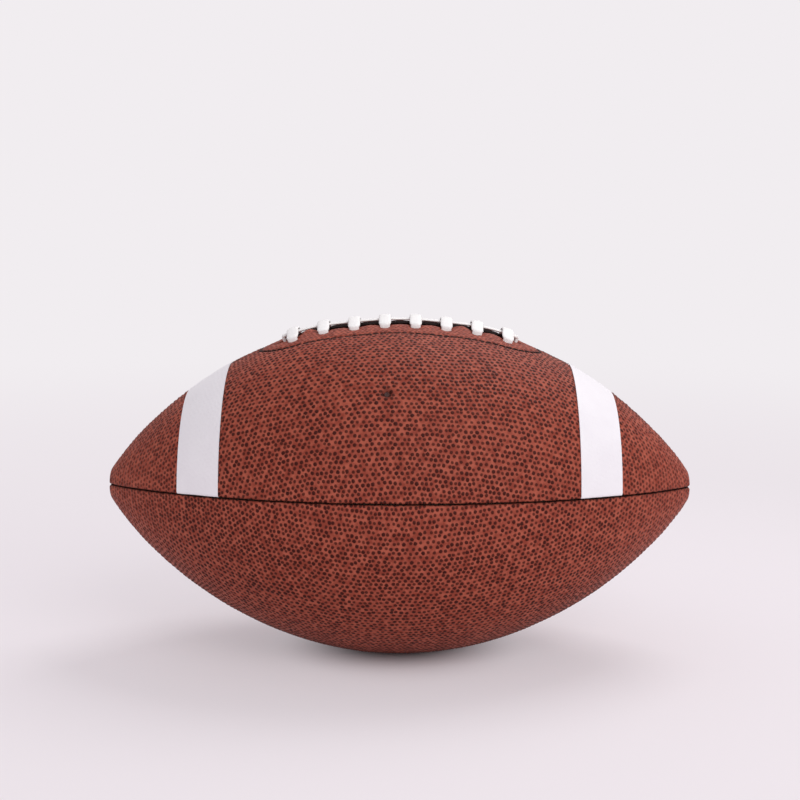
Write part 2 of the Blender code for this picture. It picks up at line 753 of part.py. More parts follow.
def make_valve_body(finish, centre):
    """Rubber stem with a flange inside the bladder, spun from radius and depth under the cover. The
    flange lies as far under the bladder's wall as its curve and its flat facets fall short."""
    stem = VALVE_STEM / 2
    flange = VALVE_FLANGE / 2
    r = profile(along_at(VALVE_PLACE))[1]
    curve = flange ** 2 / (2 * r)
    facet = r * (1 - math.cos(SIDE_SEAM * WIDEST_SHARE / 2))
    seat = BLADDER_TOP + BLADDER + CLEARANCE + curve + facet
    bottom = seat + VALVE_FLANGE_THICKNESS
    bore = VALVE_PLUG / 2 + CLEARANCE
    outline = [(bore, VALVE_SUNK), (stem, VALVE_SUNK), (stem, seat), (flange, seat),
               (flange, bottom), (bore, bottom)]
    bm = bmesh.new()
    verts = [bm.verts.new((radius, 0, -depth)) for radius, depth in outline]
    edges = [bm.edges.new((verts[index - 1], verts[index])) for index in range(len(verts))]
    bmesh.ops.spin(bm, geom=edges + verts, cent=(0, 0, 0), axis=(0, 0, 1), angle=FULL_TURN,
                   steps=VALVE_SIDES, use_merge=True)
    bmesh.ops.remove_doubles(bm, verts=bm.verts, dist=MERGE_DISTANCE)
    return on_valve_axis(add_mesh("valve_body", bm, finish, centre))


def make_valve_plug(finish, centre):
    """Plug that seals the stem's bore."""
    return valve_cylinder("valve_plug", VALVE_PLUG, VALVE_SUNK + CLEARANCE, VALVE_PLUG_LENGTH,
                          finish, centre)


def make_valve_hole(centre):
    """Cutter for the valve's way through the cover, the lining and the bladder's wall."""
    length = 2 * (BLADDER_TOP + BLADDER + LEATHER)
    return cutter(valve_cylinder("valve_way", VALVE_HOLE, -length / 2, length, None, centre))


def make_floor_cut(centre):
    """Cutter for the flat that the ball rests on."""
    size = BALL_LENGTH / 2
    bm = bmesh.new()
    bmesh.ops.create_cube(bm, size=size)
    bmesh.ops.translate(bm, verts=bm.verts, vec=(0, 0, FLAT_DEPTH - RADIUS - size / 2))
    return cutter(add_mesh("resting_flat", bm, None, centre))


def main():
    clear_scene()
    centre = bpy.data.objects.new("ball_centre", None)
    bpy.context.collection.objects.link(centre)
    centre.location = (0, 0, RADIUS - FLAT_DEPTH)

    leather = material("pebbled_leather", LEATHER_BROWN, 0.55)
    film = material("stripe_film", STRIPE_WHITE, 0.45)
    lace_cord = material("lace_cord", LACE_WHITE, 0.6)
    dark_thread = material("dark_thread", THREAD_BROWN, 0.7)
    pale_thread = material("waxed_thread", THREAD_PALE, 0.7)
    canvas = material("lining_canvas", CANVAS, 0.9)
    black_rubber = material("bladder_rubber", RUBBER_BLACK, 0.6)
    grey_rubber = material("valve_rubber", RUBBER_GREY, 0.6)

    lace_holes = make_lace_holes(centre)
    slit_trim = make_slit_trim(centre)
    valve_hole = make_valve_hole(centre)
    floor_cut = make_floor_cut(centre)

    for name, seams in PANEL_SEAMS.items():
        upper = name.startswith("upper")
        panel = make_panel("panel_" + name, seams, upper, leather, centre)
        lining = make_lining("lining_" + name, seams, canvas, centre)
        if upper:
            side = 1 if name == "upper_front" else -1
            which = name.split("_")[1]
            facing = make_facing("lace_facing_" + which, side, leather, centre)
            cut(panel, slit_trim)
            cut(panel, make_stitch_groove("stitch_groove_" + which, side, centre))
            make_stitch_thread("facing_thread_" + which, side, dark_thread, centre)
            for layer in (panel, lining, facing):
                cut(layer, lace_holes)
            make_stripe("stripe_" + which + "_left", seams, -1, film, centre)
            make_stripe("stripe_" + which + "_right", seams, 1, film, centre)
        else:
            cut(panel, floor_cut)
        if name == "upper_front":
            cut(panel, valve_hole)
            cut(lining, valve_hole)

    reach = along_at_radius(ALLOWANCE_FULL)
    slit_end = along_at(SLIT_HALF) + CLEARANCE
    back_seam = FULL_TURN - SIDE_SEAM
    make_seam_thread("seam_thread_front", SIDE_SEAM, -reach, reach, pale_thread, centre)
    make_seam_thread("seam_thread_bottom", HALF_TURN, -reach, reach, pale_thread, centre)
    make_seam_thread("seam_thread_back", back_seam, -reach, reach, pale_thread, centre)
    make_seam_thread("seam_thread_top_left", 0, -reach, -slit_end, pale_thread, centre)
    make_seam_thread("seam_thread_top_right", 0, slit_end, reach, pale_thread, centre)

    make_tongue(leather, centre)
    make_lace(lace_cord, centre)
    make_bladder(valve_hole, black_rubber, centre)
    make_valve_body(grey_rubber, centre)
    make_valve_plug(black_rubber, centre)


main()
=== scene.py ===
"""American football, finished: grained leather panels, film stripes, lacing and what they hold.

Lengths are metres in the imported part's frame: +X runs along the ball, +Z goes up through the lacing
and -Y is the side with the valve. A place on the cover is given by s, the distance along the cover's
profile from the middle of the ball, by an angle that turns from the lacing towards the valve's side,
and by a lift along the outward normal.
"""
import math

import bmesh
import bpy
import numpy as np
from mathutils import Matrix, Vector


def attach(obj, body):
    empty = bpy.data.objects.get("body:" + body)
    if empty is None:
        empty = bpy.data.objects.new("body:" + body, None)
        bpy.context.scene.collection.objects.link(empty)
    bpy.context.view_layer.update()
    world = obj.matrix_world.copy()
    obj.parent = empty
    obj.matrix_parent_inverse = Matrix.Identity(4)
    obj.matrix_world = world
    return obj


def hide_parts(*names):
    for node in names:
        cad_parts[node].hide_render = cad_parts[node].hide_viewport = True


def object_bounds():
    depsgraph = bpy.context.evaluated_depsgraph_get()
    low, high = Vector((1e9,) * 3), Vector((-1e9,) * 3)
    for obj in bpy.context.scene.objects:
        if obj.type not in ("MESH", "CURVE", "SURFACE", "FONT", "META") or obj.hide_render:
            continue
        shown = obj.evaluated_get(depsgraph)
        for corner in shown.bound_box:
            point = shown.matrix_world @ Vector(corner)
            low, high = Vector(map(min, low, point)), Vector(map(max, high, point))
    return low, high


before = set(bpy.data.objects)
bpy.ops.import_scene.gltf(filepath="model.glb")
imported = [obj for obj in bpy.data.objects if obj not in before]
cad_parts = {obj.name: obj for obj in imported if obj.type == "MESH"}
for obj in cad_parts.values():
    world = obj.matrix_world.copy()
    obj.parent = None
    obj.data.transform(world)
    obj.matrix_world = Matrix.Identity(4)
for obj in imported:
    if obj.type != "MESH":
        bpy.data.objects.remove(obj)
CAD_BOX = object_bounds()

MM = 0.001
QUARTER = math.pi / 2
HALF_TURN = math.pi
FULL_TURN = 2 * math.pi

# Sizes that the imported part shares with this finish
HALF_LENGTH = CAD_BOX[1].x
RADIUS = 83.5 * MM
FLAT_DEPTH = 0.5 * MM
CENTRE_HEIGHT = RADIUS - FLAT_DEPTH
FULLNESS = 0.82
NOSE_RADIUS = 7.8 * MM
NOSE_ROUNDING = 3 * MM
NOSE_OPENING = 0.5 * MM
LEATHER = 2.3 * MM
SEAM_ALLOWANCE = 6 * MM
LEAST_ALLOWANCE = LEATHER + 0.3 * MM
THREAD_NOTCH = 1 * MM
ALLOWANCE_FROM = 8 * MM
ALLOWANCE_FULL = 14 * MM
SIDE_SEAM = math.radians(86)
PANEL_SEAMS = {
    "upper_front": (0, SIDE_SEAM),
    "lower_front": (SIDE_SEAM, HALF_TURN),
    "lower_back": (HALF_TURN, FULL_TURN - SIDE_SEAM),
    "upper_back": (FULL_TURN - SIDE_SEAM, FULL_TURN),
}
INNER_SHARES = np.array([0, 0.1, 0.225, 0.4, 0.6, 0.775, 0.9, 1])

# White stripes, measured along the cover from the nose
STRIPE_FROM_NOSE = 62.9 * MM
STRIPE_WIDTH = 25.4 * MM
STRIPE_FILM = 0.3 * MM
STRIPE_PROUD = 0.1 * MM
STRIPE_INSET = 0.25 * MM

# Lacing
CROSS_COUNT = 8
CROSS_PITCH = 14.9 * MM
HOLE_REACH = 16 * MM
END_HOLE_BEYOND = 5.2 * MM
LACE_WIDTH = 5.9 * MM
LACE_THICKNESS = 1.7 * MM
LACE_SEAT = 1.0 * MM
LACE_UNDER = 7.25 * MM
LACE_TUCK = 3 * MM
LACE_LEAN = 1.2 * MM
LACE_CLEAR = 0.1 * MM
PINCH_NARROWS = 0.18
PINCH_THICKENS = 0.25
STRAND_LIFT = 1.15 * MM
LACING_DIP = 1.8 * MM
DIP_HALF = 16 * MM
DIP_FADE = 36 * MM
DIP_SIDE_FADE = 35 * MM
LACED_HALF = CROSS_PITCH * (CROSS_COUNT - 1) / 2
END_HOLE = LACED_HALF + END_HOLE_BEYOND
SLIT_HALF = END_HOLE + 3 * MM
END_EDGE = END_HOLE - LACE_SEAT
HALF_BEND = LACE_SEAT * math.sqrt(0.5)

# Lips along the slit: how they sink, and how far each gap between crosses bulges, left to right
LIP_SINK = 1.9 * MM
LIP_FULL = 1.5 * MM
LIP_FADE = 12.5 * MM
LEAST_LEATHER = 0.35 * MM
LIP_BULGES = np.array([1, 0, 0.1, 0, 0.1, 0.7, 0.2])
BULGE_LEVELS = 0.85
BULGE_PLACE = 6.5 * MM
BACK_LIP = 0.65 * MM
BACK_LIP_FULL = 10 * MM

# Length along the ball over which the lips, the slit and their painted shade end
LACING_EASE = 6 * MM

# Round forms of the leather by the lacing: the height or depth of each, and how far it spreads
BULGE = (1.2 * MM, 3.2 * MM)
BULGE_ALONG = (1, 4.5 * MM)
CROSS_WAVE = (0.3 * MM, 5.5 * MM)
CROSS_WAVE_PLACE = 9 * MM
HOLE_DIP = (0.6 * MM, 2.8 * MM)
END_HOLE_DIP = (0.9 * MM, 2.6 * MM)
STITCH_GROOVE = (0.6 * MM, 0.9 * MM)
TIP_PLACE = 70 * MM
TIP_DIP = (1.9 * MM, 9 * MM)
TIP_ACROSS = (1, 6.5 * MM)

# Painted shade: how far from the slit it covers the lips, which lie in shade under the strand, and its
# strength and reach along the seam's groove
LIP_PAINTED_SHADE = {"upper_front": 2.5 * MM, "upper_back": 9.5 * MM}
SEAM_PAINTED_SHADE = 0.9
SEAM_SHADE_REACH = 0.9 * MM

# Stitched line round the lacing
STITCH_REACH = HOLE_REACH + 9 * MM
STITCH_HALF = END_HOLE + 13.7 * MM
STITCH_LEAST = 3.05 * MM
STITCH_LENGTH = 3.0 * MM
STITCH_SPACE = 0.4 * MM
STITCH_THREAD = 0.85 * MM

# Valve: its place, how far the leather sinks round it and how strong the painted shade in its funnel is
VALVE_PLACE = -6 * MM
VALVE_ANGLE = math.radians(50)
VALVE_SINK = 1.6 * MM
VALVE_PAINTED_SHADE = 0.5

# Grain of the leather: pebbles on a hexagonal net, each off its place by a random step
PEBBLE_PITCH = 2.55 * MM
PEBBLE_ROW = PEBBLE_PITCH * math.sqrt(3) / 2
PEBBLE_STRAY = 0.18 * PEBBLE_PITCH
PEBBLE_RADIUS = 1.15 * MM
PEBBLE_HEIGHT = 0.3 * MM
MESH_STEP = 0.64 * MM
SHARP_EDGE = math.radians(50)
FLOOR_CLEAR = 0.02 * MM

# Slow unevenness of the cover: its height and how far apart its swells lie
SWELL = 0.15 * MM
SWELL_NET = 16 * MM

# Seam edges: how far they roll in and how far apart they lie, on sewn seams and along the slit
SEAM_ROLL = 1.2 * MM
SEAM_GAP = 0.08 * MM
SEAM_PLAY = 0.15 * MM
SEAM_PLAY_NET = 5 * MM
SLIT_ROLL = 0.7 * MM
SLIT_GAP = 1.4 * MM

# Radius of the ball where the leather's flat net ends and plain rings close the nose
NOSE_FROM = 11 * MM
NOSE_RINGS = 16

# Strength of the ink at the noses, and where along the cover it begins to weaken
NOSE_INK = 0.7
INK_FROM = 95 * MM
INK_FADE = 60 * MM


def fade(value, start=0, width=1):
    """One up to start, nought from start + width on, with a smooth step between."""
    share = np.clip((value - start) / width, 0, 1)
    return 1 - share * share * (3 - 2 * share)


def bell(distance, form):
    """Height of a round form at a distance from its middle: height * e^-(distance / spread)^2."""
    height, spread = form
    return height * np.exp(-(distance / spread) ** 2)


def run_along(points):
    """Distance along a line of points from its first one."""
    return np.concatenate([[0], np.cumsum(np.linalg.norm(np.diff(points, axis=0), axis=1))])


def profile_table():
    """Distance, x, radius and normal along the cover: r = RADIUS * (1 - (x / reach)^2)^FULLNESS, then
    an arc of NOSE_ROUNDING, then a flat end."""
    start = HALF_LENGTH
    for _ in range(40):
        reach = start / math.sqrt(1 - (NOSE_RADIUS / RADIUS) ** (1 / FULLNESS))
        rest = 1 - (start / reach) ** 2
        slope = 2 * FULLNESS * RADIUS * start / reach ** 2 * rest ** (FULLNESS - 1)
        lean = math.atan(slope)
        start = HALF_LENGTH - NOSE_ROUNDING * (1 - math.sin(lean))
    body_x = start * np.sin(np.linspace(0, QUARTER, 3000))
    rest = 1 - (body_x / reach) ** 2
    body_lean = np.arctan(2 * FULLNESS * RADIUS * body_x / reach ** 2 * rest ** (FULLNESS - 1))
    arc_lean = np.linspace(lean, QUARTER, 40)[1:]
    arc_x = start + NOSE_ROUNDING * (np.sin(arc_lean) - math.sin(lean))
    arc_r = NOSE_RADIUS + NOSE_ROUNDING * (np.cos(arc_lean) - math.cos(lean))
    end_r = np.linspace(arc_r[-1], NOSE_OPENING, 20)[1:]
    x = np.concatenate([body_x, arc_x, np.full(len(end_r), HALF_LENGTH)])
    r = np.concatenate([RADIUS * rest ** FULLNESS, arc_r, end_r])
    lean = np.concatenate([body_lean, arc_lean, np.full(len(end_r), QUARTER)])
    return run_along(np.stack([x, r], axis=-1)), x, r, np.sin(lean), np.cos(lean)


PROFILE = profile_table()
PROFILE_END = PROFILE[0][-1]
NOSE_START = float(np.interp(-NOSE_FROM, -PROFILE[2], PROFILE[0]))
STRIPE_END = PROFILE_END - STRIPE_FROM_NOSE
STRIPE_START = STRIPE_END - STRIPE_WIDTH


def profile(s):
    """x, radius and the two parts of the outward normal at distance s."""
    x, r, normal_x, normal_r = (np.interp(np.abs(s), PROFILE[0], row) for row in PROFILE[1:])
    return np.sign(s) * x, r, np.sign(s) * normal_x, normal_r


def along_at(x):
    """Distance along the profile of the points at x."""
    return np.sign(x) * np.interp(np.abs(x), PROFILE[1], PROFILE[0])


def from_top(angle):
    """Angle from the lacing, either way."""
    return np.abs((angle + HALF_TURN) % FULL_TURN - HALF_TURN)


def place(s, angle, lift):
    """Points of the ball. The lacing draws the cover in by LACING_DIP, faded round itself."""
    x, r, normal_x, normal_r = profile(s)
    drawn = fade(from_top(angle) * r, STITCH_REACH, DIP_SIDE_FADE) * fade(np.abs(s), DIP_HALF, DIP_FADE)
    radial = r + lift * normal_r - LACING_DIP * drawn
    return np.stack(np.broadcast_arrays(
        x + lift * normal_x, -radial * np.sin(angle), radial * np.cos(angle) + CENTRE_HEIGHT), axis=-1)


def across_at(x, across, lift):
    """Points near the lacing: x along the ball, across along the cover, lift above it."""
    s = along_at(x)
    return place(s, across / profile(s)[1], lift)


def value_noise(x, y, seed):
    """Smooth noise from -1 to 1 on a unit net: random values at the net's points, with a smooth step
    between neighbours."""
    table = np.random.default_rng(seed).uniform(-1, 1, (256, 256))
    i = np.floor(x).astype(int)
    j = np.floor(y).astype(int)
    u = 1 - fade(x - i)
    v = 1 - fade(y - j)
    low = table[i % 256, j % 256] * (1 - u) + table[(i + 1) % 256, j % 256] * u
    high = table[i % 256, (j + 1) % 256] * (1 - u) + table[(i + 1) % 256, (j + 1) % 256] * u
    return low * (1 - v) + high * v


class Grain:
    """Pebbles of one piece of leather, on the flat. Their middles lie on a hexagonal net that is
    pulled by half a pitch over stretches of nine pitches and by more over 24, so that its rows bend,
    and each is off its place by a random step."""

    def __init__(self, seed, reach_x, reach_y):
        self.seed = seed
        self.rows = int(reach_y / PEBBLE_ROW) + 4
        self.columns = int(reach_x / PEBBLE_PITCH) + self.rows // 2 + 4
        i, j = np.meshgrid(np.arange(-self.columns, self.columns + 1),
                           np.arange(-self.rows, self.rows + 1), indexing="ij")
        x = (i + j / 2) * PEBBLE_PITCH
        y = j * PEBBLE_ROW
        random = np.random.default_rng(seed)
        stray = random.uniform(-PEBBLE_STRAY, PEBBLE_STRAY, (2, *x.shape))
        pull = self.pull(x, y)
        self.middle_x = (x + pull[0] + stray[0]).ravel()
        self.middle_y = (y + pull[1] + stray[1]).ravel()
        self.tone = random.uniform(0, 1, x.size)

    def pull(self, x, y):
        """How far the net is pulled at x, y, both ways."""
        shifts = []
        for way in (0, 1):
            shift = np.zeros_like(x)
            for pitches, amount in ((9, 0.5), (24, 1.2)):
                net = pitches * PEBBLE_PITCH
                seed = 1000 * self.seed + 10 * pitches + way
                shift = shift + amount * PEBBLE_PITCH * value_noise(x / net + 100, y / net + 100, seed)
            shifts.append(shift)
        return shifts

    def nearest(self, x, y):
        """Number of the pebble nearest to each point x, y, and how far its middle is."""
        base_x, base_y = x, y
        for _ in range(3):
            pull = self.pull(base_x, base_y)
            base_x = x - pull[0]
            base_y = y - pull[1]
        row = np.round(base_y / PEBBLE_ROW)
        least = np.full(x.shape, np.inf)
        found = np.zeros(x.shape, int)
        for j in (row - 1, row, row + 1):
            column = np.round(base_x / PEBBLE_PITCH - j / 2)
            for i in (column - 1, column, column + 1):
                cell = ((np.clip(i, -self.columns, self.columns) + self.columns) * (2 * self.rows + 1)
                        + np.clip(j, -self.rows, self.rows) + self.rows).astype(int)
                away = np.hypot(x - self.middle_x[cell], y - self.middle_y[cell])
                found = np.where(away < least, cell, found)
                least = np.minimum(least, away)
        return found, least


def stitch_across(x):
    """Distance of the stitched line from the slit: reach * (1 - share^8)^0.7, where share is x as a
    share of the line's half length, but at least STITCH_LEAST."""
    share = np.minimum(np.abs(x) / STITCH_HALF, 1)
    return np.maximum(STITCH_REACH * (1 - share ** 8) ** 0.7, STITCH_LEAST)


def inside_stitches(x, across):
    """One inside the stitched line, nought outside it, with a soft step."""
    return fade(across - stitch_across(x), -1.5 * MM, 2 * MM) * (np.abs(x) < STITCH_HALF)


def lacing_shape(x, across, bulging=1):
    """Lift of the leather round the lacing. Its lips sink towards the slit, but on the bulging side
    some rise to the strand between two crosses, where a full bulge takes BULGE_LEVELS of the sinking
    away. It dips under each cross, at each hole, under the stitched line and along the seam at the
    line's two tips."""
    along = np.abs(x)
    laced = fade(along, SLIT_HALF - LACING_EASE / 2, LACING_EASE)
    last_gap = CROSS_COUNT - 2
    gap = np.clip(np.round(x / CROSS_PITCH + last_gap / 2), 0, last_gap).astype(int)
    bulge = bulging * LIP_BULGES[gap] * bell(x - (gap - last_gap / 2) * CROSS_PITCH, BULGE_ALONG)
    lift = -LIP_SINK * (1 - BULGE_LEVELS * bulge) * laced * fade(across, LIP_FULL, LIP_FADE)
    lift += bulge * laced * bell(across - BULGE_PLACE, BULGE)
    between = np.cos(FULL_TURN * x / CROSS_PITCH) * fade(along, LACED_HALF, 9 * MM)
    lift += between * bell(across - CROSS_WAVE_PLACE, CROSS_WAVE)
    index = np.clip(np.round(x / CROSS_PITCH - 0.5), -CROSS_COUNT / 2, CROSS_COUNT / 2 - 1)
    from_hole = np.hypot(x - (index + 0.5) * CROSS_PITCH, across - HOLE_REACH + LACE_LEAN / 2)
    lift -= bell(from_hole, HOLE_DIP) + bell(np.hypot(along - END_HOLE, across), END_HOLE_DIP)
    step = 0.05 * MM
    slope = (stitch_across(along + step) - stitch_across(along)) / step
    from_line = (across - stitch_across(x)) / np.sqrt(1 + slope ** 2)
    lift -= bell(from_line, STITCH_GROOVE) * (along < STITCH_HALF)
    lift -= bell(along - TIP_PLACE, TIP_DIP) * bell(across, TIP_ACROSS)
    return np.maximum(lift, LEAST_LEATHER - LEATHER)


def valve_shape(s, angle):
    """Soft funnel round the valve's end, and the painted shade in it."""
    away = np.hypot(s - along_at(VALVE_PLACE), (angle - VALVE_ANGLE) * profile(s)[1])
    return -VALVE_SINK * fade(away, 0.7 * MM, 2.3 * MM), VALVE_PAINTED_SHADE * fade(away, MM, 3.6 * MM)


class Panel:
    """One piece of the cover: which seams it runs between and how its grain is laid."""

    def __init__(self, name, seed):
        first, last = PANEL_SEAMS[name]
        self.name = name
        self.middle = (first + last) / 2
        self.half = (last - first) / 2
        self.upper = name.startswith("upper")
        self.top_side = {"upper_front": -1, "upper_back": 1}.get(name, 0)
        self.seed = seed
        self.grain = Grain(seed, PROFILE_END + SEAM_ALLOWANCE, RADIUS * self.half + SEAM_ALLOWANCE)

    def slit(self, s, side):
        """One where the edge on that side lies along the slit, nought on sewn seams."""
        return fade(np.abs(s), SLIT_HALF, LACING_EASE) * (side == self.top_side)

    def gap_and_roll(self, s, side):
        """Half gap and roll of the edge on one side. A sewn seam is a little uneven, and along the
        slit the edges stand further apart."""
        squeeze = np.minimum(1, 0.5 * profile(s)[1] / LEATHER)
        slit = self.slit(s, side)
        play = 0.5 + 0.5 * value_noise(s / SEAM_PLAY_NET + 50, 0 * s, self.seed)
        sewn = SEAM_GAP + SEAM_PLAY * play
        gap = sewn + (SLIT_GAP - sewn) * slit
        roll = SEAM_ROLL + (SLIT_ROLL - SEAM_ROLL) * slit
        return gap * squeeze, roll * squeeze

    def edge_angle(self, s, side, offset=None, depth=0):
        """Angle, from the panel's middle, of a point at an offset from the seam's plane. Without an
        offset it is the point where the outer face begins to roll in."""
        gap, roll = self.gap_and_roll(s, side)
        _, r, _, normal_r = profile(s)
        away = gap + (roll if offset is None else offset)
        return side * (self.half - np.arcsin(np.minimum(away / (r - depth * normal_r), 0.7)))

    def from_flat(self, flat_x, angle_at):
        """Distance s of points of the flat leather, whose angle is a function of s. A parallel lies
        on the flat leather as the curve flat_x = s - r * r' * angle^2 / 2."""
        s = np.clip(flat_x, -NOSE_START, NOSE_START)
        for _ in range(10):
            _, r, normal_x, _ = profile(s)
            s = np.clip(flat_x - 0.5 * r * normal_x * angle_at(s) ** 2, -NOSE_START, NOSE_START)
        return s

    def to_flat(self, s, angle):
        """Place on the flat leather of points at distance s and an angle from the panel's middle."""
        _, r, normal_x, _ = profile(s)
        return s + 0.5 * r * normal_x * angle ** 2, r * angle

    def outer_face(self):
        """Distance, angle and flat place of the outer face's points: a net of MESH_STEP on the flat
        leather, trimmed at the seams and the nose."""
        end = math.ceil((NOSE_START + 4 * MM) / MESH_STEP)
        rows = np.arange(-end, end + 1) * MESH_STEP
        half = math.ceil(RADIUS * self.half / MESH_STEP)
        net_x, net_y = np.meshgrid(rows, np.arange(-half, half + 1) * MESH_STEP, indexing="ij")
        limits = []
        for side in (-1, 1):
            s = self.from_flat(rows, lambda s: self.edge_angle(s, side))
            limits.append((profile(s)[1] * self.edge_angle(s, side))[:, None])
        flat_y = np.clip(net_y, limits[0], limits[1])
        nose_x = self.to_flat(NOSE_START, flat_y / NOSE_FROM)[0]
        flat_x = np.clip(net_x, -nose_x, nose_x)

        def angle_at(s):
            return np.clip(flat_y / profile(s)[1], self.edge_angle(s, -1), self.edge_angle(s, 1))

        s = self.from_flat(flat_x, angle_at)
        return s, angle_at(s), flat_x, flat_y

    def relief(self, s, angle, flat_x, flat_y):
        """Lift of the outer face over the plain cover, strength of its ink and of the painted shade on
        its lips, seam edges and valve. Inside the stitched line the leather is pulled flat, and its ink
        is made faint there as painted sheen, and the ink weakens towards the noses."""
        x, r, _, _ = profile(s)
        along = np.abs(s)
        whole = angle + self.middle
        across = from_top(whole) * r
        tight_and_sheen = inside_stitches(x, across) if self.upper else 0 * s
        _, away = self.grain.nearest(flat_x, flat_y)
        lift = PEBBLE_HEIGHT * (fade(away, 0, PEBBLE_RADIUS) - 0.4) * (1 - 0.5 * tight_and_sheen)
        lift = lift * fade(along, NOSE_START - 6 * MM, 8 * MM)
        lift += SWELL * value_noise(s / SWELL_NET + 50, whole * r / SWELL_NET + 50, self.seed)
        paint = 0 * s
        if self.upper:
            beyond = np.maximum(STRIPE_START - along, along - STRIPE_END)
            striped = fade(beyond, 0.1 * MM, 0.3 * MM)
            lift = lift * (1 - striped) - (STRIPE_FILM + 0.05 * MM) * striped
            lift += lacing_shape(x, across, self.name == "upper_front")
            # Painted shade on the lips along the slit under the strand; on the back lip it reaches far
            # enough to fill the gap under the strand
            paint = fade(across, LIP_PAINTED_SHADE[self.name], 3 * MM) * fade(np.abs(x), LACED_HALF, LACING_EASE)
            # Painted shade along the slit and its sewn tips, for the seam's groove
            seam = fade(across, SEAM_SHADE_REACH, 1.2 * MM) \
                * fade(np.abs(x), STITCH_HALF - LACING_EASE / 2, LACING_EASE)
            paint = np.maximum(paint, SEAM_PAINTED_SHADE * seam)
        if self.name == "upper_back":
            raised = fade(np.abs(x), SLIT_HALF - LACING_EASE / 2, LACING_EASE)
            lift += BACK_LIP * raised * fade(across, BACK_LIP_FULL, 6 * MM)
        if self.name == "upper_front":
            # dark is painted shade in the valve's funnel
            funnel, dark = valve_shape(s, whole)
            lift += funnel
            paint = np.maximum(paint, dark)
        ink = NOSE_INK + (1 - NOSE_INK) * fade(along, INK_FROM, INK_FADE)
        # Fainter ink inside the stitched line is painted sheen
        return lift, ink * (1 - 0.4 * tight_and_sheen), paint


def allowance(s):
    """Depth of a panel's turned edge, which is cut short towards the nose."""
    grown = 1 - fade(profile(s)[1], ALLOWANCE_FROM, ALLOWANCE_FULL - ALLOWANCE_FROM)
    return LEAST_ALLOWANCE + (SEAM_ALLOWANCE - LEAST_ALLOWANCE) * grown


def edge_columns(panel, side, face):
    """Columns of a panel's turned edge, from its inner corner out to the face: the flange, the notch
    for the thread and a quarter-round roll, whose radius is the panel's roll there. It carries
    painted shade for the seam's groove, set by shade, which ends on the roll."""
    column = 0 if side < 0 else -1
    s, _, lift, flat_x, flat_y, ink, paint = (values[:, [column]] for values in face)
    _, r, _, normal_r = profile(s)
    slit = panel.slit(s, side)
    deep = allowance(s) * (1 - slit) + (LEATHER + 0.1 * MM) * slit
    squeeze = np.minimum(1, 0.6 * (r - deep * normal_r) / LEATHER)
    roll = panel.gap_and_roll(s, side)[1]
    notch = np.minimum(THREAD_NOTCH, 0.3 * (deep - roll))
    middle = (roll + deep) / 2
    wall = middle - notch
    turns = np.radians([0, 18, 36, 54, 72])
    none = 0 * deep
    # Painted shade for the seam's groove: full on the flange and notch, fading out along the roll
    shade = np.array([1] * 6 + [0.9, 0.6, 0.25, 0.05])
    offsets = [LEATHER * squeeze, none, none, 0.4 * notch * squeeze, none]
    depths = [deep, deep, middle + notch, middle, wall]
    beyond = list(depths)
    for turn in turns:
        offsets.append(roll * (1 - math.cos(turn)))
        depths.append(np.minimum(roll * (1 - math.sin(turn)) - lift, wall - 0.02 * MM))
        beyond.append(roll * (QUARTER - turn))
    offsets, depths, beyond = (np.hstack(rows) for rows in (offsets, depths, beyond))
    along = s + 0 * depths
    return (along, panel.edge_angle(along, side, offsets, depths), -depths, flat_x + 0 * depths,
            flat_y + side * beyond, ink + 0 * depths, np.maximum(paint, shade + 0 * depths))


def panel_rings(panel):
    """Points of a panel's whole skin as rings across the ball, from flange to flange and back along
    the inner face, with their flat places, ink and painted shade, and how many columns are finished
    leather."""
    s, angle, flat_x, flat_y = panel.outer_face()
    lift, ink, paint = panel.relief(s, angle, flat_x, flat_y)
    beyond = NOSE_START + (PROFILE_END - NOSE_START) * np.linspace(0, 1, NOSE_RINGS + 1)[1:, None]
    nose_s = beyond + 0 * s[:1]
    grow = beyond - NOSE_START
    shrink = profile(beyond)[1] / NOSE_FROM
    none = 0 * nose_s
    face = []
    for values, first, last in ((s, -nose_s[::-1], nose_s),
                                (angle, angle[:1] + none, angle[-1:] + none),
                                (lift, none, none),
                                (flat_x, flat_x[:1] - grow[::-1], flat_x[-1:] + grow),
                                (flat_y, flat_y[:1] * shrink[::-1], flat_y[-1:] * shrink),
                                (ink, none + NOSE_INK, none + NOSE_INK), (paint, none, none)):
        face.append(np.concatenate([first, values, last]))
    face[1] = np.clip(face[1], panel.edge_angle(face[0], -1), panel.edge_angle(face[0], 1))
    start = edge_columns(panel, -1, face)
    end = edge_columns(panel, 1, face)

    row_x = face[3][:, [face[3].shape[1] // 2]]
    inner_angle = np.clip((2 * INNER_SHARES - 1) * panel.half + 0 * row_x,
                          panel.edge_angle(face[0][:, :1], -1, LEATHER, LEATHER),
                          panel.edge_angle(face[0][:, -1:], 1, LEATHER, LEATHER))
    inner_s = panel.from_flat(row_x + 0 * inner_angle, lambda s: inner_angle)
    inner_s[:NOSE_RINGS] = face[0][:NOSE_RINGS, :1]
    inner_s[-NOSE_RINGS:] = face[0][-NOSE_RINGS:, :1]
    none = 0 * inner_s
    inner = (inner_s, inner_angle, none - LEATHER, none, none, none, none)

    order = [start, face, [values[:, ::-1] for values in end], [values[:, ::-1] for values in inner]]
    along, angles, lifts, net_x, net_y, ink, paint = (
        np.hstack([part[k] for part in order]) for k in range(len(face)))
    points = place(along, angles + panel.middle, lifts)
    points[..., 2] = np.maximum(points[..., 2], FLOOR_CLEAR)
    leather_columns = points.shape[1] - inner_s.shape[1]
    return points, np.stack([net_x, net_y], axis=-1), {"ink": ink, "paint": paint}, leather_columns


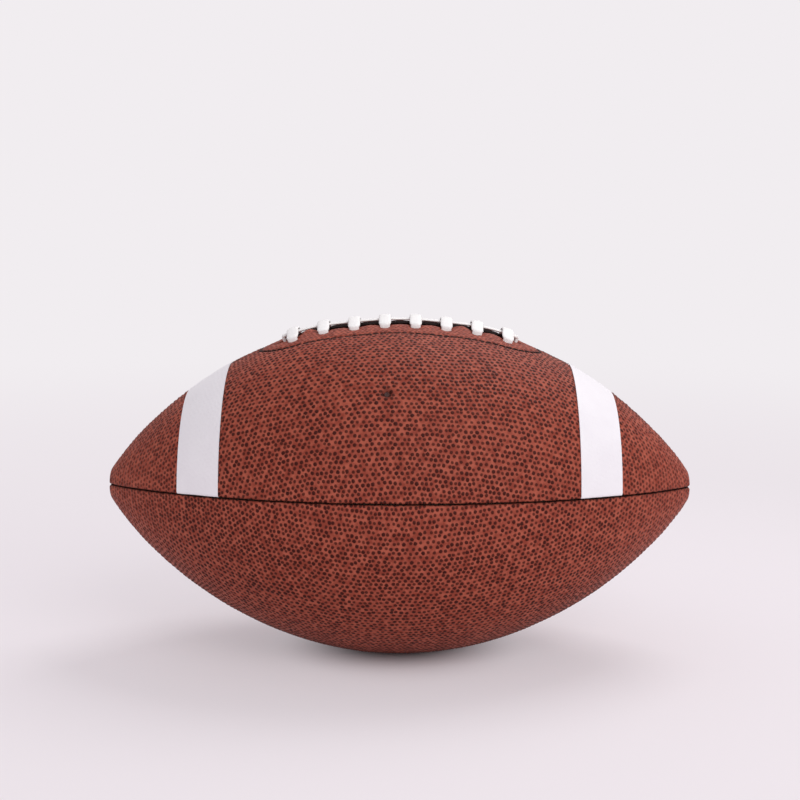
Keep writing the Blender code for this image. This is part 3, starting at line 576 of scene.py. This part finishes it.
def ring_mesh(name, points, finishes, layer=None, uv=None, marks=None, first_columns=None):
    """Closed mesh through the rings of one tube or several: quads between neighbours, a cap on each
    end, with points that coincide merged. Faces past first_columns take the second finish, and marks
    are values of the points that the finishes read."""
    index = np.arange(points.size // 3).reshape(points.shape[:-1])
    beside = np.roll(index, -1, axis=-1)
    quads = np.stack([index[..., :-1, :], index[..., 1:, :],
                      beside[..., 1:, :], beside[..., :-1, :]], axis=-1)
    caps = np.stack([index[..., 0, :], index[..., -1, ::-1]])
    faces = quads.reshape(-1, 4).tolist() + caps.reshape(-1, index.shape[-1]).tolist()
    mesh = bpy.data.meshes.new(name)
    mesh.from_pydata(points.reshape(-1, 3).tolist(), [], faces)
    for finish in finishes:
        mesh.materials.append(finish)
    if first_columns:
        kinds = 0 * index[:-1]
        kinds[:, first_columns:] = 1
        mesh.polygons.foreach_set("material_index", np.append(kinds, [1, 1]).astype(np.int32))
    for mark, values in (marks or {}).items():
        made = mesh.attributes.new(mark, 'FLOAT', 'POINT')
        made.data.foreach_set("value", values.astype(np.float32).ravel())
    if layer:
        corners = np.zeros(len(mesh.loops), np.int32)
        mesh.loops.foreach_get("vertex_index", corners)
        sheet = mesh.uv_layers.new(name=layer)
        sheet.uv.foreach_set("vector", uv.reshape(-1, 2)[corners].astype(np.float32).ravel())
    bm = bmesh.new()
    bm.from_mesh(mesh)
    bmesh.ops.remove_doubles(bm, verts=bm.verts, dist=0.001 * MM)
    bmesh.ops.triangulate(bm, faces=[face for face in bm.faces if len(face.verts) > 4])
    bmesh.ops.recalc_face_normals(bm, faces=bm.faces)
    bm.to_mesh(mesh)
    bm.free()
    mesh.shade_smooth()
    return mesh


def lay_grain(mesh, grain):
    """Turns a mesh's map of flat places into one where each face is measured, in millimetres, from
    the middle of the pebble nearest to it, and gives each face its pebble's tone."""
    sheet = mesh.uv_layers["grain"].uv
    flat = np.zeros(2 * len(mesh.loops), np.float32)
    sheet.foreach_get("vector", flat)
    flat = flat.reshape(-1, 2).astype(float)
    sides = np.zeros(len(mesh.polygons), np.int32)
    mesh.polygons.foreach_get("loop_total", sides)
    owner = np.repeat(np.arange(len(sides)), sides)
    centre_x, centre_y = (np.bincount(owner, flat[:, way]) / sides for way in (0, 1))
    pebble, _ = grain.nearest(centre_x, centre_y)
    middle = np.stack([grain.middle_x[pebble], grain.middle_y[pebble]], axis=-1)
    sheet.foreach_set("vector", ((flat - middle[owner]) / MM).astype(np.float32).ravel())
    tone = mesh.attributes.new("tone", 'FLOAT', 'FACE')
    tone.data.foreach_set("value", grain.tone[pebble].astype(np.float32))


def add_object(name, data):
    """Object of a mesh, a lamp or a camera, in the scene."""
    made = bpy.data.objects.new(name, data)
    bpy.context.scene.collection.objects.link(made)
    return made


def add_piece(name, mesh, node):
    """Object that rides on the ball and stands for its solid."""
    made = add_object(name, mesh)
    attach(made, "root")
    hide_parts(node)


def colour(code):
    """Linear colour of an sRGB hex value."""
    parts = [int(code[k:k + 2], 16) / 255 for k in (1, 3, 5)]
    return [p / 12.92 if p <= 0.04045 else ((p + 0.055) / 1.055) ** 2.4 for p in parts] + [1]


def set_inputs(tree, node, inputs):
    """Sets a node's inputs, or links them to an output, or to the first output in use of a node."""
    for key, value in inputs.items():
        if isinstance(value, bpy.types.Node):
            value = next(output for output in value.outputs if output.enabled)
        if isinstance(value, bpy.types.NodeSocket):
            tree.links.new(value, node.inputs[key])
        else:
            node.inputs[key].default_value = value


def add_node(tree, kind, inputs=(), **settings):
    """Adds a shader node with its settings, and sets or links its inputs."""
    made = tree.nodes.new("ShaderNode" + kind)
    for key, value in settings.items():
        setattr(made, key, value)
    set_inputs(tree, made, dict(inputs))
    return made


def new_material(name):
    """Material, its node tree and its Object coordinates. A noise's scale such as 0.9 / MM stands for
    0.9 patches to a millimetre."""
    made = bpy.data.materials.new(name)
    made.use_nodes = True
    return made, made.node_tree, add_node(made.node_tree, "TexCoord").outputs["Object"]


def finished(made, pattern, dark, light, height, depth, gloss):
    """The material with a colour that goes from dark to light with a pattern, the relief of a height
    and its depth, and its shader's own settings."""
    tree = made.node_tree
    shade = add_node(tree, "Mix", {0: pattern, 6: colour(dark), 7: colour(light)}, data_type='RGBA')
    bump = add_node(tree, "Bump", {"Height": height, "Distance": depth})
    set_inputs(tree, tree.nodes["Principled BSDF"], {"Base Color": shade, "Normal": bump, **gloss})
    return made


def from_pebble(tree, place_in):
    """Distance in millimetres from the middle of the nearest pebble, to which a noise adds up to half
    a millimetre, and the pebble's dome, which falls from one at 0.5 of it to nought at 1.3."""
    net = add_node(tree, "UVMap", uv_map="grain")
    plain = add_node(tree, "VectorMath", {0: net}, operation='LENGTH')
    noise = add_node(tree, "TexNoise", {"Vector": place_in, "Scale": 0.9 / MM, "Detail": 1})
    away = add_node(tree, "Math", {0: noise, 1: 0.5, 2: plain}, operation='MULTIPLY_ADD')
    dome = add_node(tree, "MapRange", {0: away, 1: 0.5, 2: 1.3, 3: 1, 4: 0},
                    interpolation_type='SMOOTHSTEP')
    return away, dome


def grained_leather():
    """Embossed composite leather with inked pebble tips: dark spots on a red-brown net, low sheen. A
    spot fades from 0.7 to 1.24 of the pebble's distance, and further out on one of more tone."""
    made, tree, place_in = new_material("pebbled_composite_leather")
    away, dome = from_pebble(tree, place_in)
    tone, ink, paint = (add_node(tree, "Attribute", attribute_name=mark).outputs["Fac"]
                        for mark in ("tone", "ink", "paint"))
    grown = add_node(tree, "Math", {0: tone, 1: -0.26, 2: away}, operation='MULTIPLY_ADD')
    spot = add_node(tree, "MapRange", {0: grown, 1: 0.7, 2: 1.24, 3: 1, 4: 0},
                    interpolation_type='SMOOTHSTEP')
    patch = add_node(tree, "TexNoise", {"Vector": place_in, "Scale": 0.32 / MM, "Detail": 3})
    streak = add_node(tree, "MapRange", {0: patch, 1: 0.36, 2: 0.64})
    brown = add_node(tree, "Mix", {0: streak, 6: colour("#883a2b"), 7: colour("#aa5643")},
                     data_type='RGBA')
    faint = add_node(tree, "MapRange", {0: tone, 3: 0.8, 4: 1.0})
    strength = add_node(tree, "Math", {0: ink, 1: faint}, operation='MULTIPLY')
    amount = add_node(tree, "Math", {0: spot, 1: strength}, operation='MULTIPLY')
    skin = add_node(tree, "Mix", {0: amount, 6: brown, 7: colour("#3a0c05")}, data_type='RGBA')
    # Painted shade: near black where the mesh marks the slit under the strand, the seam grooves and the
    # valve's funnel
    shaded_skin = add_node(tree, "Mix", {0: paint, 6: skin, 7: colour("#190503")}, data_type='RGBA')
    crease = add_node(tree, "TexNoise", {"Vector": place_in, "Scale": 2.6 / MM, "Detail": 4})
    rough = add_node(tree, "MapRange", {0: crease, 1: 0.3, 2: 0.7, 3: 0.5, 4: 0.66})
    # The painted shade is also made dull, so that it stays dark at grazing angles
    dull = add_node(tree, "Math", {0: rough, 1: paint}, operation='MAXIMUM')
    coarse = add_node(tree, "Bump", {"Height": dome, "Distance": 0.15 * MM})
    fine = add_node(tree, "Bump", {"Height": crease, "Distance": 0.05 * MM, "Normal": coarse})
    set_inputs(tree, tree.nodes["Principled BSDF"], {
        "Base Color": shaded_skin, "Roughness": dull, "Normal": fine, "Specular IOR Level": 0.15})
    return made


def stripe_film():
    """White polyurethane film pressed on the leather: smooth, with a ghost of the grain under it."""
    made, tree, place_in = new_material("white_polyurethane_film")
    _, dome = from_pebble(tree, place_in)
    patch = add_node(tree, "TexNoise", {"Vector": place_in, "Scale": 0.06 / MM, "Detail": 4})
    return finished(made, patch, "#ece8ed", "#f6f4f7", dome, 0.05 * MM, {"Roughness": 0.42})


def woven(tree, ways, repeat, wave):
    """Height of a weave: the product of a wave along each way, which repeats after so many metres."""
    height = 1.0
    for way in ways:
        turn = add_node(tree, "Math", {0: way, 1: FULL_TURN / repeat}, operation='MULTIPLY')
        risen = add_node(tree, "Math", {0: turn}, operation=wave)
        height = add_node(tree, "Math", {0: risen, 1: height}, operation='MULTIPLY')
    return height


def lace_cord():
    """White vinyl-coated lace over a fine braid: soft white with a low sheen. The braid's threads
    slant both ways."""
    made, tree, place_in = new_material("vinyl_coated_lace")
    run = add_node(tree, "UVMap", uv_map="run")
    parts = add_node(tree, "SeparateXYZ", {0: run}).outputs
    slants = [add_node(tree, "Math", {0: parts[1], 1: slant, 2: parts[0]}, operation='MULTIPLY_ADD')
              for slant in (1, -1)]
    braid = woven(tree, slants, 0.9 * MM, 'COSINE')
    patch = add_node(tree, "TexNoise", {"Vector": place_in, "Scale": 0.16 / MM, "Detail": 4})
    return finished(made, patch, "#f6f4f2", "#fdfcfb", braid, 0.03 * MM, {"Roughness": 0.5})


def thread(name, dark, light):
    """Waxed polyester thread, twisted: fine slanting plies about 0.7 mm apart along the ball."""
    made, tree, place_in = new_material(name)
    plies = add_node(tree, "TexWave", {"Vector": place_in, "Scale": 0.9 / MM, "Distortion": 1.5},
                     bands_direction='DIAGONAL')
    return finished(made, plies, dark, light, plies, 0.05 * MM,
                    {"Roughness": 0.6, "Specular IOR Level": 0.2})


def split_leather():
    """Back of the leather: raw split, fibrous and dull."""
    made, tree, place_in = new_material("split_leather")
    fibre = add_node(tree, "TexNoise", {"Vector": place_in, "Scale": 0.7 / MM, "Detail": 6,
                                        "Roughness": 0.7})
    return finished(made, fibre, "#7d5844", "#b98d70", fibre, 0.15 * MM, {"Roughness": 0.9})


def canvas():
    """Cotton canvas lining: plain weave of threads 0.8 mm apart, which repeats at every second one."""
    made, tree, place_in = new_material("cotton_canvas")
    parts = add_node(tree, "SeparateXYZ", {0: place_in}).outputs
    weave = woven(tree, (parts[0], parts[2]), 1.6 * MM, 'SINE')
    level = add_node(tree, "MapRange", {0: weave, 1: -1, 2: 1})
    return finished(made, level, "#bdb49f", "#ddd6c4", level, 0.2 * MM, {"Roughness": 0.95})


def rubber(name, dark, light):
    """Moulded butyl rubber: dark, dull, with a faint bloom."""
    made, tree, place_in = new_material(name)
    bloom = add_node(tree, "TexNoise", {"Vector": place_in, "Scale": 0.25 / MM, "Detail": 5})
    return finished(made, bloom, dark, light, bloom, 0.05 * MM, {"Roughness": 0.6})


def make_panels(panels, leather, back):
    """The four pieces of the cover."""
    for panel in panels.values():
        name = "leather_" + panel.name
        points, flat, marks, leather_columns = panel_rings(panel)
        mesh = ring_mesh(name, points, [leather, back], "grain", flat, marks, leather_columns)
        lay_grain(mesh, panel.grain)
        add_piece(name, mesh, "panel_" + panel.name)


def make_stripe(panel, side, film):
    """White film on an upper panel, from seam to seam, a touch proud of the leather. Its rings run
    across the ball: a top face, a roll at each seam and an under face."""
    s = side * np.linspace(STRIPE_START + STRIPE_INSET, STRIPE_END - STRIPE_INSET, 43)[:, None]
    low = panel.edge_angle(s, -1)
    high = panel.edge_angle(s, 1)
    face = low + (high - low) * np.linspace(0, 1, 151)
    angles = [face]
    lifts = [STRIPE_PROUD + 0 * face]
    for turn in np.radians([54, 36]):
        for end in (-1, 1):
            roll = panel.gap_and_roll(s, end)[1]
            depth = roll * (1 - math.sin(turn)) - STRIPE_PROUD
            column = panel.edge_angle(s, end, roll * (1 - math.cos(turn)), depth)
            angles.insert(0 if end < 0 else len(angles), column)
            lifts.insert(0 if end < 0 else len(lifts), -depth)
    angles = np.hstack(angles)
    lifts = np.hstack(lifts)
    along = s + 0 * angles
    top = place(along, angles + panel.middle, lifts)
    under = place(along, angles + panel.middle, lifts - STRIPE_FILM)
    flat = np.stack(panel.to_flat(along, angles), axis=-1)
    name = "_".join(["stripe_film", panel.name.split("_")[1], "left" if side < 0 else "right"])
    rings = np.hstack([top, under[:, ::-1]])
    mesh = ring_mesh(name, rings, [film], "grain", np.hstack([flat, flat[:, ::-1]]))
    lay_grain(mesh, panel.grain)
    mesh.set_sharp_from_angle(angle=SHARP_EDGE)
    add_piece(name, mesh, name.replace("stripe_film", "stripe"))


def hole_turn(lifted, lean=0):
    """Across and lift of the bend round a hole's edge, from over it to inside it. The lace pulls the
    hole's outer end towards the slit by lean."""
    level = lifted - math.copysign(LACE_SEAT, lifted)
    edge = HOLE_REACH - LACE_SEAT - lean
    middle = (edge + HALF_BEND, level + math.copysign(HALF_BEND, lifted))
    return [(edge, lifted), middle, (edge + LACE_SEAT, level)]


def crossing(x, side, path, pinches):
    """Stations at x of a path across the ball, on one side of it: x, across, lift, width direction in
    x and across, and how far a hole pinches the lace."""
    return [(x, side * across, lift, 1, 0, pinch) for (across, lift), pinch in zip(path, pinches)]


def lace_over(x):
    """Stations of one cross lace on top, from its front hole over the strand to its back one."""
    over = LACE_SEAT + LACE_THICKNESS + LACE_CLEAR
    rise = [(0.66, LACE_SEAT * 1.1), (0.43, (LACE_SEAT + over) / 2), (0.25, over * 0.98)]
    path = hole_turn(LACE_SEAT, LACE_LEAN)[::-1] + [(share * HOLE_REACH, lift) for share, lift in rise]
    pinches = [1, 0.7, 0.2, 0, 0, 0]
    front = crossing(x, 1, path, pinches)
    back = crossing(x, -1, path[::-1], pinches[::-1])
    return front + [(x, 0, over, 1, 0, 0)] + back


def lace_below(from_x, to_x):
    """Stations under the facings, from a back hole to the next hole in front. The lace shifts along
    the ball by a smooth step, and lean is the step's slope there."""
    dive = hole_turn(-LACE_UNDER)[::-1]
    stations = crossing(from_x, -1, dive[:2], (1, 0.5))
    edge = HOLE_REACH - LACE_SEAT
    for share in np.linspace(0, 1, 5):
        lean = 6 * share * (1 - share) * (to_x - from_x) / (2 * edge)
        long = math.hypot(1, lean)
        x = from_x + (to_x - from_x) * (1 - float(fade(share)))
        stations.append((x, edge * (2 * share - 1), -LACE_UNDER, 1 / long, -lean / long, 0))
    return stations + crossing(to_x, 1, dive[1::-1], (0.5, 1))


def strand_turn(side):
    """Stations from the end hole at x = side * END_HOLE to level under the facings, and round a
    quarter turn."""
    level = LACE_SEAT - LACE_UNDER
    stations = [(side * END_HOLE, 0, level, 0, 1, 1),
                (side * (END_EDGE + HALF_BEND), 0, level - HALF_BEND, 0, 1, 0.5)]
    for angle in np.linspace(0, QUARTER, 4):
        x = side * (END_EDGE - (END_HOLE_BEYOND - LACE_SEAT) * math.sin(angle))
        across = side * END_HOLE_BEYOND * (1 - math.cos(angle))
        stations.append((x, across, -LACE_UNDER, math.sin(angle), math.cos(angle), 0))
    return stations


def strand_over():
    """Stations of the lengthwise strand, from the left end hole to the right one."""
    rise = [(END_HOLE, 0, 1), (END_EDGE + HALF_BEND, HALF_BEND, 0.8), (END_EDGE, LACE_SEAT, 0.35)]
    level = [(x, STRAND_LIFT, -1) for x in np.linspace(-END_EDGE, END_EDGE, 11)[1:-1]]
    path = [(-x, lift, pinch) for x, lift, pinch in rise] + level + rise[::-1]
    return [(x, 0, lift, 0, 1, pinch) for x, lift, pinch in path]


def lace_route():
    """Stations of the whole lace, the same as the solid lace's."""
    places = [LACED_HALF - CROSS_PITCH * index for index in range(CROSS_COUNT)]
    tail = strand_turn(-1)[::-1]
    route = [(places[-1], tail[0][1] - LACE_TUCK, -LACE_UNDER, 1, 0, 0)]
    route += tail + strand_over() + strand_turn(1)
    dive = hole_turn(-LACE_UNDER)
    route += crossing(places[0], 1, dive[:2], (0.5, 1))
    for index, x in enumerate(places):
        route += lace_over(x)
        if index + 1 < len(places):
            route += lace_below(x, places[index + 1])
    route += crossing(places[-1], -1, dive[1::-1], (1, 0.5))
    route.append((places[-1], -HOLE_REACH + LACE_SEAT + LACE_TUCK, -LACE_UNDER, 1, 0, 0))
    return np.array(route, float)


def smooth_path(stations, steps):
    """Catmull-Rom curve through stations, with so many steps between neighbours."""
    padded = np.vstack([2 * stations[0] - stations[1], stations, 2 * stations[-1] - stations[-2]])
    a, b, c, d = (padded[k:len(padded) - 3 + k, None] for k in range(4))
    t = np.linspace(0, 1, steps, endpoint=False)[None, :, None]
    curve = 0.5 * (2 * b + (c - a) * t + (2 * a - 5 * b + 4 * c - d) * t ** 2
                   + (3 * b - a - 3 * c + d) * t ** 3)
    return np.vstack([curve.reshape(-1, stations.shape[1]), stations[-1:]])


def unit(vectors):
    """Vectors of length one."""
    return vectors / np.linalg.norm(vectors, axis=-1, keepdims=True)


def swept(points, wide, outline):
    """Rings of an outline, across and up, carried along points. The outline may change on the way."""
    ahead = unit(np.gradient(points, axis=0))
    up = unit(np.cross(ahead, wide))
    wide = np.cross(up, ahead)
    return points[:, None] + wide[:, None] * outline[..., :1] + up[:, None] * outline[..., 1:]


def make_lace(finish):
    """One flat lace through all its holes. Its section is a rounded oblong, |a|^2.4 + |b|^2.4 = 1 with
    half sides of its width and thickness, that each hole pinches narrower and thicker and that the
    crosses press flatter on the strand."""
    route = lace_route()
    x, across, lift = route[:, :3].T
    points = across_at(x, across, lift)
    step = 0.5 * MM
    wide = across_at(x + step * route[:, 3], across + step * route[:, 4], lift) - points
    smooth = smooth_path(np.hstack([points, unit(wide), route[:, 5:]]), 6)
    points, wide, pinch = smooth[:, :3], smooth[:, 3:6], np.clip(smooth[:, 6:], -1, 1)
    turn = np.linspace(0, FULL_TURN, 24, endpoint=False)
    square = 2 / 2.4
    shape_a, shape_b = (np.sign(part) * np.abs(part) ** square for part in (np.cos(turn), np.sin(turn)))
    half_wide = LACE_WIDTH / 2 * (1 - PINCH_NARROWS * pinch) * shape_a
    half_thick = LACE_THICKNESS / 2 * (1 + PINCH_THICKENS * pinch) * shape_b
    rings = swept(points, wide, np.stack([half_wide, half_thick], axis=-1))
    uv = np.stack(np.broadcast_arrays(run_along(points)[:, None], half_wide), axis=-1)
    add_piece("lace_strap", ring_mesh("lace_strap", rings, [finish], "run", uv), "lace")


def make_stitches(finish):
    """Rows of single stitches round the lacing, which stop a little short of the line's tips. Each is a
    bent capsule whose ends dip into the leather: its lift is thread * (rise * (1 - (2t - 1)^6) - 0.5)
    and its radius shrinks with (2t - 1)^8."""
    rise = 0.75
    row_half = 0.992 * STITCH_HALF
    t = np.linspace(0, 1, 9)
    turn = np.linspace(0, FULL_TURN, 8, endpoint=False)
    radius = STITCH_THREAD / 2 * (1 - 0.55 * (2 * t - 1) ** 8)
    outline = radius[:, None, None] * np.stack([np.cos(turn), np.sin(turn)], axis=-1)
    for which, side in (("front", 1), ("back", -1)):
        x = row_half * np.sin(np.linspace(-QUARTER, QUARTER, 2001))
        run = run_along(across_at(x, side * stitch_across(x), 0 * x))
        pitch = STITCH_LENGTH + STITCH_SPACE
        stitches = []
        for start in np.arange(int(run[-1] / pitch)) * pitch + STITCH_SPACE:
            where = np.interp(start + STITCH_LENGTH * t, run, x)
            across = stitch_across(where)
            lift = lacing_shape(where, across) + STITCH_THREAD * (rise * (1 - (2 * t - 1) ** 6) - 0.5)
            points = across_at(where, side * across, lift)
            out = across_at(where, side * across, lift + MM) - points
            stitches.append(swept(points, out, outline))
        name = "facing_stitches_" + which
        mesh = ring_mesh(name, np.array(stitches), [finish])
        add_piece(name, mesh, "facing_thread_" + which)


def turned_piece(name, outline, finish, node):
    """Round piece on the valve's axis, turned from radius and lift over the cover."""
    s = along_at(VALVE_PLACE)
    middle = place(s, VALVE_ANGLE, 0)
    out = unit(place(s, VALVE_ANGLE, MM) - middle)
    wide = unit(np.cross(out, [1, 0, 0]))
    up = np.cross(out, wide)
    turn = np.linspace(0, FULL_TURN, 40, endpoint=False)[:, None]
    radius, lift = np.array(outline).T * MM
    rings = middle + out * lift[:, None, None] \
        + radius[:, None, None] * (np.cos(turn) * wide + np.sin(turn) * up)
    mesh = ring_mesh(name, rings, [finish])
    mesh.set_sharp_from_angle(angle=SHARP_EDGE)
    add_piece(name, mesh, node)


def make_valve(body_rubber, plug_rubber):
    """Valve stem with a small round mouth, a needle funnel and a flange in the bladder, and its
    plug. Each outline is a list of radius and lift in millimetres."""
    stem = [(0.6, -1.6), (0.75, -1.35), (1.0, -1.25), (1.25, -1.35), (1.4, -1.7), (1.45, -2.1),
            (2.5, -2.2), (2.5, -6.0), (6.0, -6.0), (6.0, -7.0), (1.65, -7.0), (1.65, -2.6), (0.6, -2.2)]
    turned_piece("valve_stem", stem + stem[:1], body_rubber, "valve_body")
    plug = [(0.01, -2.4), (0.3, -2.4), (0.42, -2.3), (0.55, -2.35), (1.35, -3.0), (1.35, -6.8),
            (0.01, -6.8)]
    turned_piece("valve_core", plug, plug_rubber, "valve_plug")


def dress_inside(finishes):
    """Better finishes for the solids that stay as they are."""
    for node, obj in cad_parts.items():
        for start, finish in finishes.items():
            if node.startswith(start) and not obj.hide_render:
                obj.data.materials.clear()
                obj.data.materials.append(finish)


def seen_directly(tree):
    """One for what the camera sees, straight or in a reflection or through glass."""
    rays = add_node(tree, "LightPath").outputs
    seen = rays["Is Camera Ray"]
    for kind in ("Is Glossy Ray", "Is Transmission Ray"):
        seen = add_node(tree, "Math", {0: seen, 1: rays[kind]}, operation='MAXIMUM')
    return seen


def studio_paper():
    """Matt background paper. Far from the ball the camera and reflections see its plain pale colour.
    Round the ball it is lit and keeps the shadow, which that colour makes paler a little way out. Near
    and far are each made from where it begins, where it is full and its share there."""
    made, tree, place_in = new_material("studio_paper")
    lit = tree.nodes["Principled BSDF"]
    set_inputs(tree, lit, {"Base Color": colour("#f5eff3"), "Roughness": 1, "Specular IOR Level": 0})
    away = add_node(tree, "VectorMath", {0: place_in}, operation='LENGTH')
    near, far = (add_node(tree, "MapRange", {0: away, 1: start, 2: full, 3: 0, 4: share},
                          interpolation_type='SMOOTHSTEP')
                 for start, full, share in ((0.012, 0.065, 0.45), (0.18, 0.6, 0.55)))
    both = add_node(tree, "Math", {0: near, 1: far}, operation='ADD')
    amount = add_node(tree, "Math", {0: seen_directly(tree), 1: both}, operation='MULTIPLY')
    back = add_node(tree, "MapRange", {0: away, 1: 0.35, 2: 1.6}, interpolation_type='SMOOTHSTEP')
    pale = add_node(tree, "Mix", {0: back, 6: colour("#ebe4e9"), 7: colour("#f1edf0")},
                    data_type='RGBA')
    plain = add_node(tree, "Emission", {"Color": pale, "Strength": 1})
    mixed = add_node(tree, "MixShader", {0: amount, 1: lit, 2: plain})
    set_inputs(tree, tree.nodes["Material Output"], {"Surface": mixed})
    return made


def make_floor():
    """Pale sweep: a floor that curves up into a backdrop a long way behind the ball."""
    turn = np.linspace(0, QUARTER, 24)
    front = -3.0
    back = 2.5
    bend = 1.5
    height = 6.0
    half_width = 6.0
    y = np.concatenate([[front], back + bend * np.sin(turn), [back + bend]])
    z = np.concatenate([[0.0], bend * (1 - np.cos(turn)), [height]])
    x = np.array([-half_width, half_width])
    verts = np.stack(np.broadcast_arrays(x[None, :], y[:, None], z[:, None]), axis=-1).reshape(-1, 3)
    faces = [(2 * k, 2 * k + 1, 2 * k + 3, 2 * k + 2) for k in range(len(y) - 1)]
    mesh = bpy.data.meshes.new("studio_sweep")
    mesh.from_pydata(verts.tolist(), [], faces)
    mesh.shade_smooth()
    mesh.materials.append(studio_paper())
    add_object("studio_sweep", mesh)


def add_lamp(name, size, power, place_at, target):
    """Square area lamp that faces a target."""
    lamp = bpy.data.lights.new(name, 'AREA')
    lamp.size = size
    lamp.energy = power
    made = add_object(name, lamp)
    made.location = place_at
    made.rotation_euler = (Vector(target) - Vector(place_at)).to_track_quat('-Z', 'Y').to_euler()


def make_light():
    """Soft studio light: an even world, which the camera sees as a plain pale colour, a lamp above and
    behind on the right, and a large one in front on the right."""
    world = bpy.data.worlds.new("studio")
    bpy.context.scene.world = world
    world.use_nodes = True
    tree = world.node_tree
    sky = tree.nodes["Background"]
    set_inputs(tree, sky, {"Color": colour("#f6f2f6"), "Strength": 0.57})
    plain = add_node(tree, "Background", {"Color": colour("#f1edf0"), "Strength": 1})
    mixed = add_node(tree, "MixShader", {0: seen_directly(tree), 1: sky, 2: plain})
    set_inputs(tree, tree.nodes["World Output"], {"Surface": mixed})
    middle = (0, 0, CENTRE_HEIGHT)
    add_lamp("back_lamp", size=1.0, power=12, place_at=(0.6, 0.7, 1.6), target=middle)
    add_lamp("front_lamp", size=1.4, power=18, place_at=(0.9, -1.7, 1.2), target=middle)


def make_camera():
    """Camera at the photograph's place: 0.738 m from the ball's middle, 6.4 degrees above the plane
    of the ball's length and front seam, and looking 3.1 degrees down to it. That plane leans by what
    the front seam lies above level."""
    distance = 0.738
    up_angle = 0.11176
    pitch = 0.05471
    roll = 0.00465
    lean = Matrix.Rotation(SIDE_SEAM - QUARTER, 3, 'X')
    place_at = Vector((0, -math.cos(up_angle), math.sin(up_angle))) * distance
    ahead = Vector((0, math.cos(pitch), -math.sin(pitch)))
    right = ahead.cross(Vector((0, 0, 1))).normalized()
    up = right.cross(ahead)
    turned_right = right * math.cos(roll) + up * math.sin(roll)
    turned_up = up * math.cos(roll) - right * math.sin(roll)
    lens = bpy.data.cameras.new("camera")
    lens.sensor_width = 36
    lens.lens = 66.21
    lens.clip_start = 0.01
    turn = lean @ Matrix((turned_right, turned_up, -ahead)).transposed()
    middle = Vector((0, 0, CENTRE_HEIGHT))
    camera = add_object("camera", lens)
    camera.matrix_world = Matrix.Translation(lean @ place_at + middle) @ turn.to_4x4()
    bpy.context.scene.camera = camera


bpy.context.scene.view_settings.view_transform = 'Standard'
make_camera()
make_light()
make_floor()

leather_skin = grained_leather()
leather_back = split_leather()
pale_thread = thread("waxed_polyester_thread", "#a59a80", "#d2c8ae")
dark_thread = thread("black_waxed_thread", "#190a08", "#2e1712")
black_rubber = rubber("butyl_rubber", "#1b1b1c", "#2b2b2d")
valve_rubber = rubber("valve_rubber", "#381812", "#48241d")
white_film = stripe_film()

panels = {name: Panel(name, seed) for seed, name in enumerate(PANEL_SEAMS, 1)}
make_panels(panels, leather_skin, leather_back)
for name in ("upper_front", "upper_back"):
    for side in (-1, 1):
        make_stripe(panels[name], side, white_film)
make_lace(lace_cord())
make_stitches(dark_thread)
make_valve(valve_rubber, black_rubber)
dress_inside({"lining_": canvas(), "seam_thread_": pale_thread, "lace_facing_": leather_back,
              "lace_tongue": leather_back, "bladder": black_rubber})
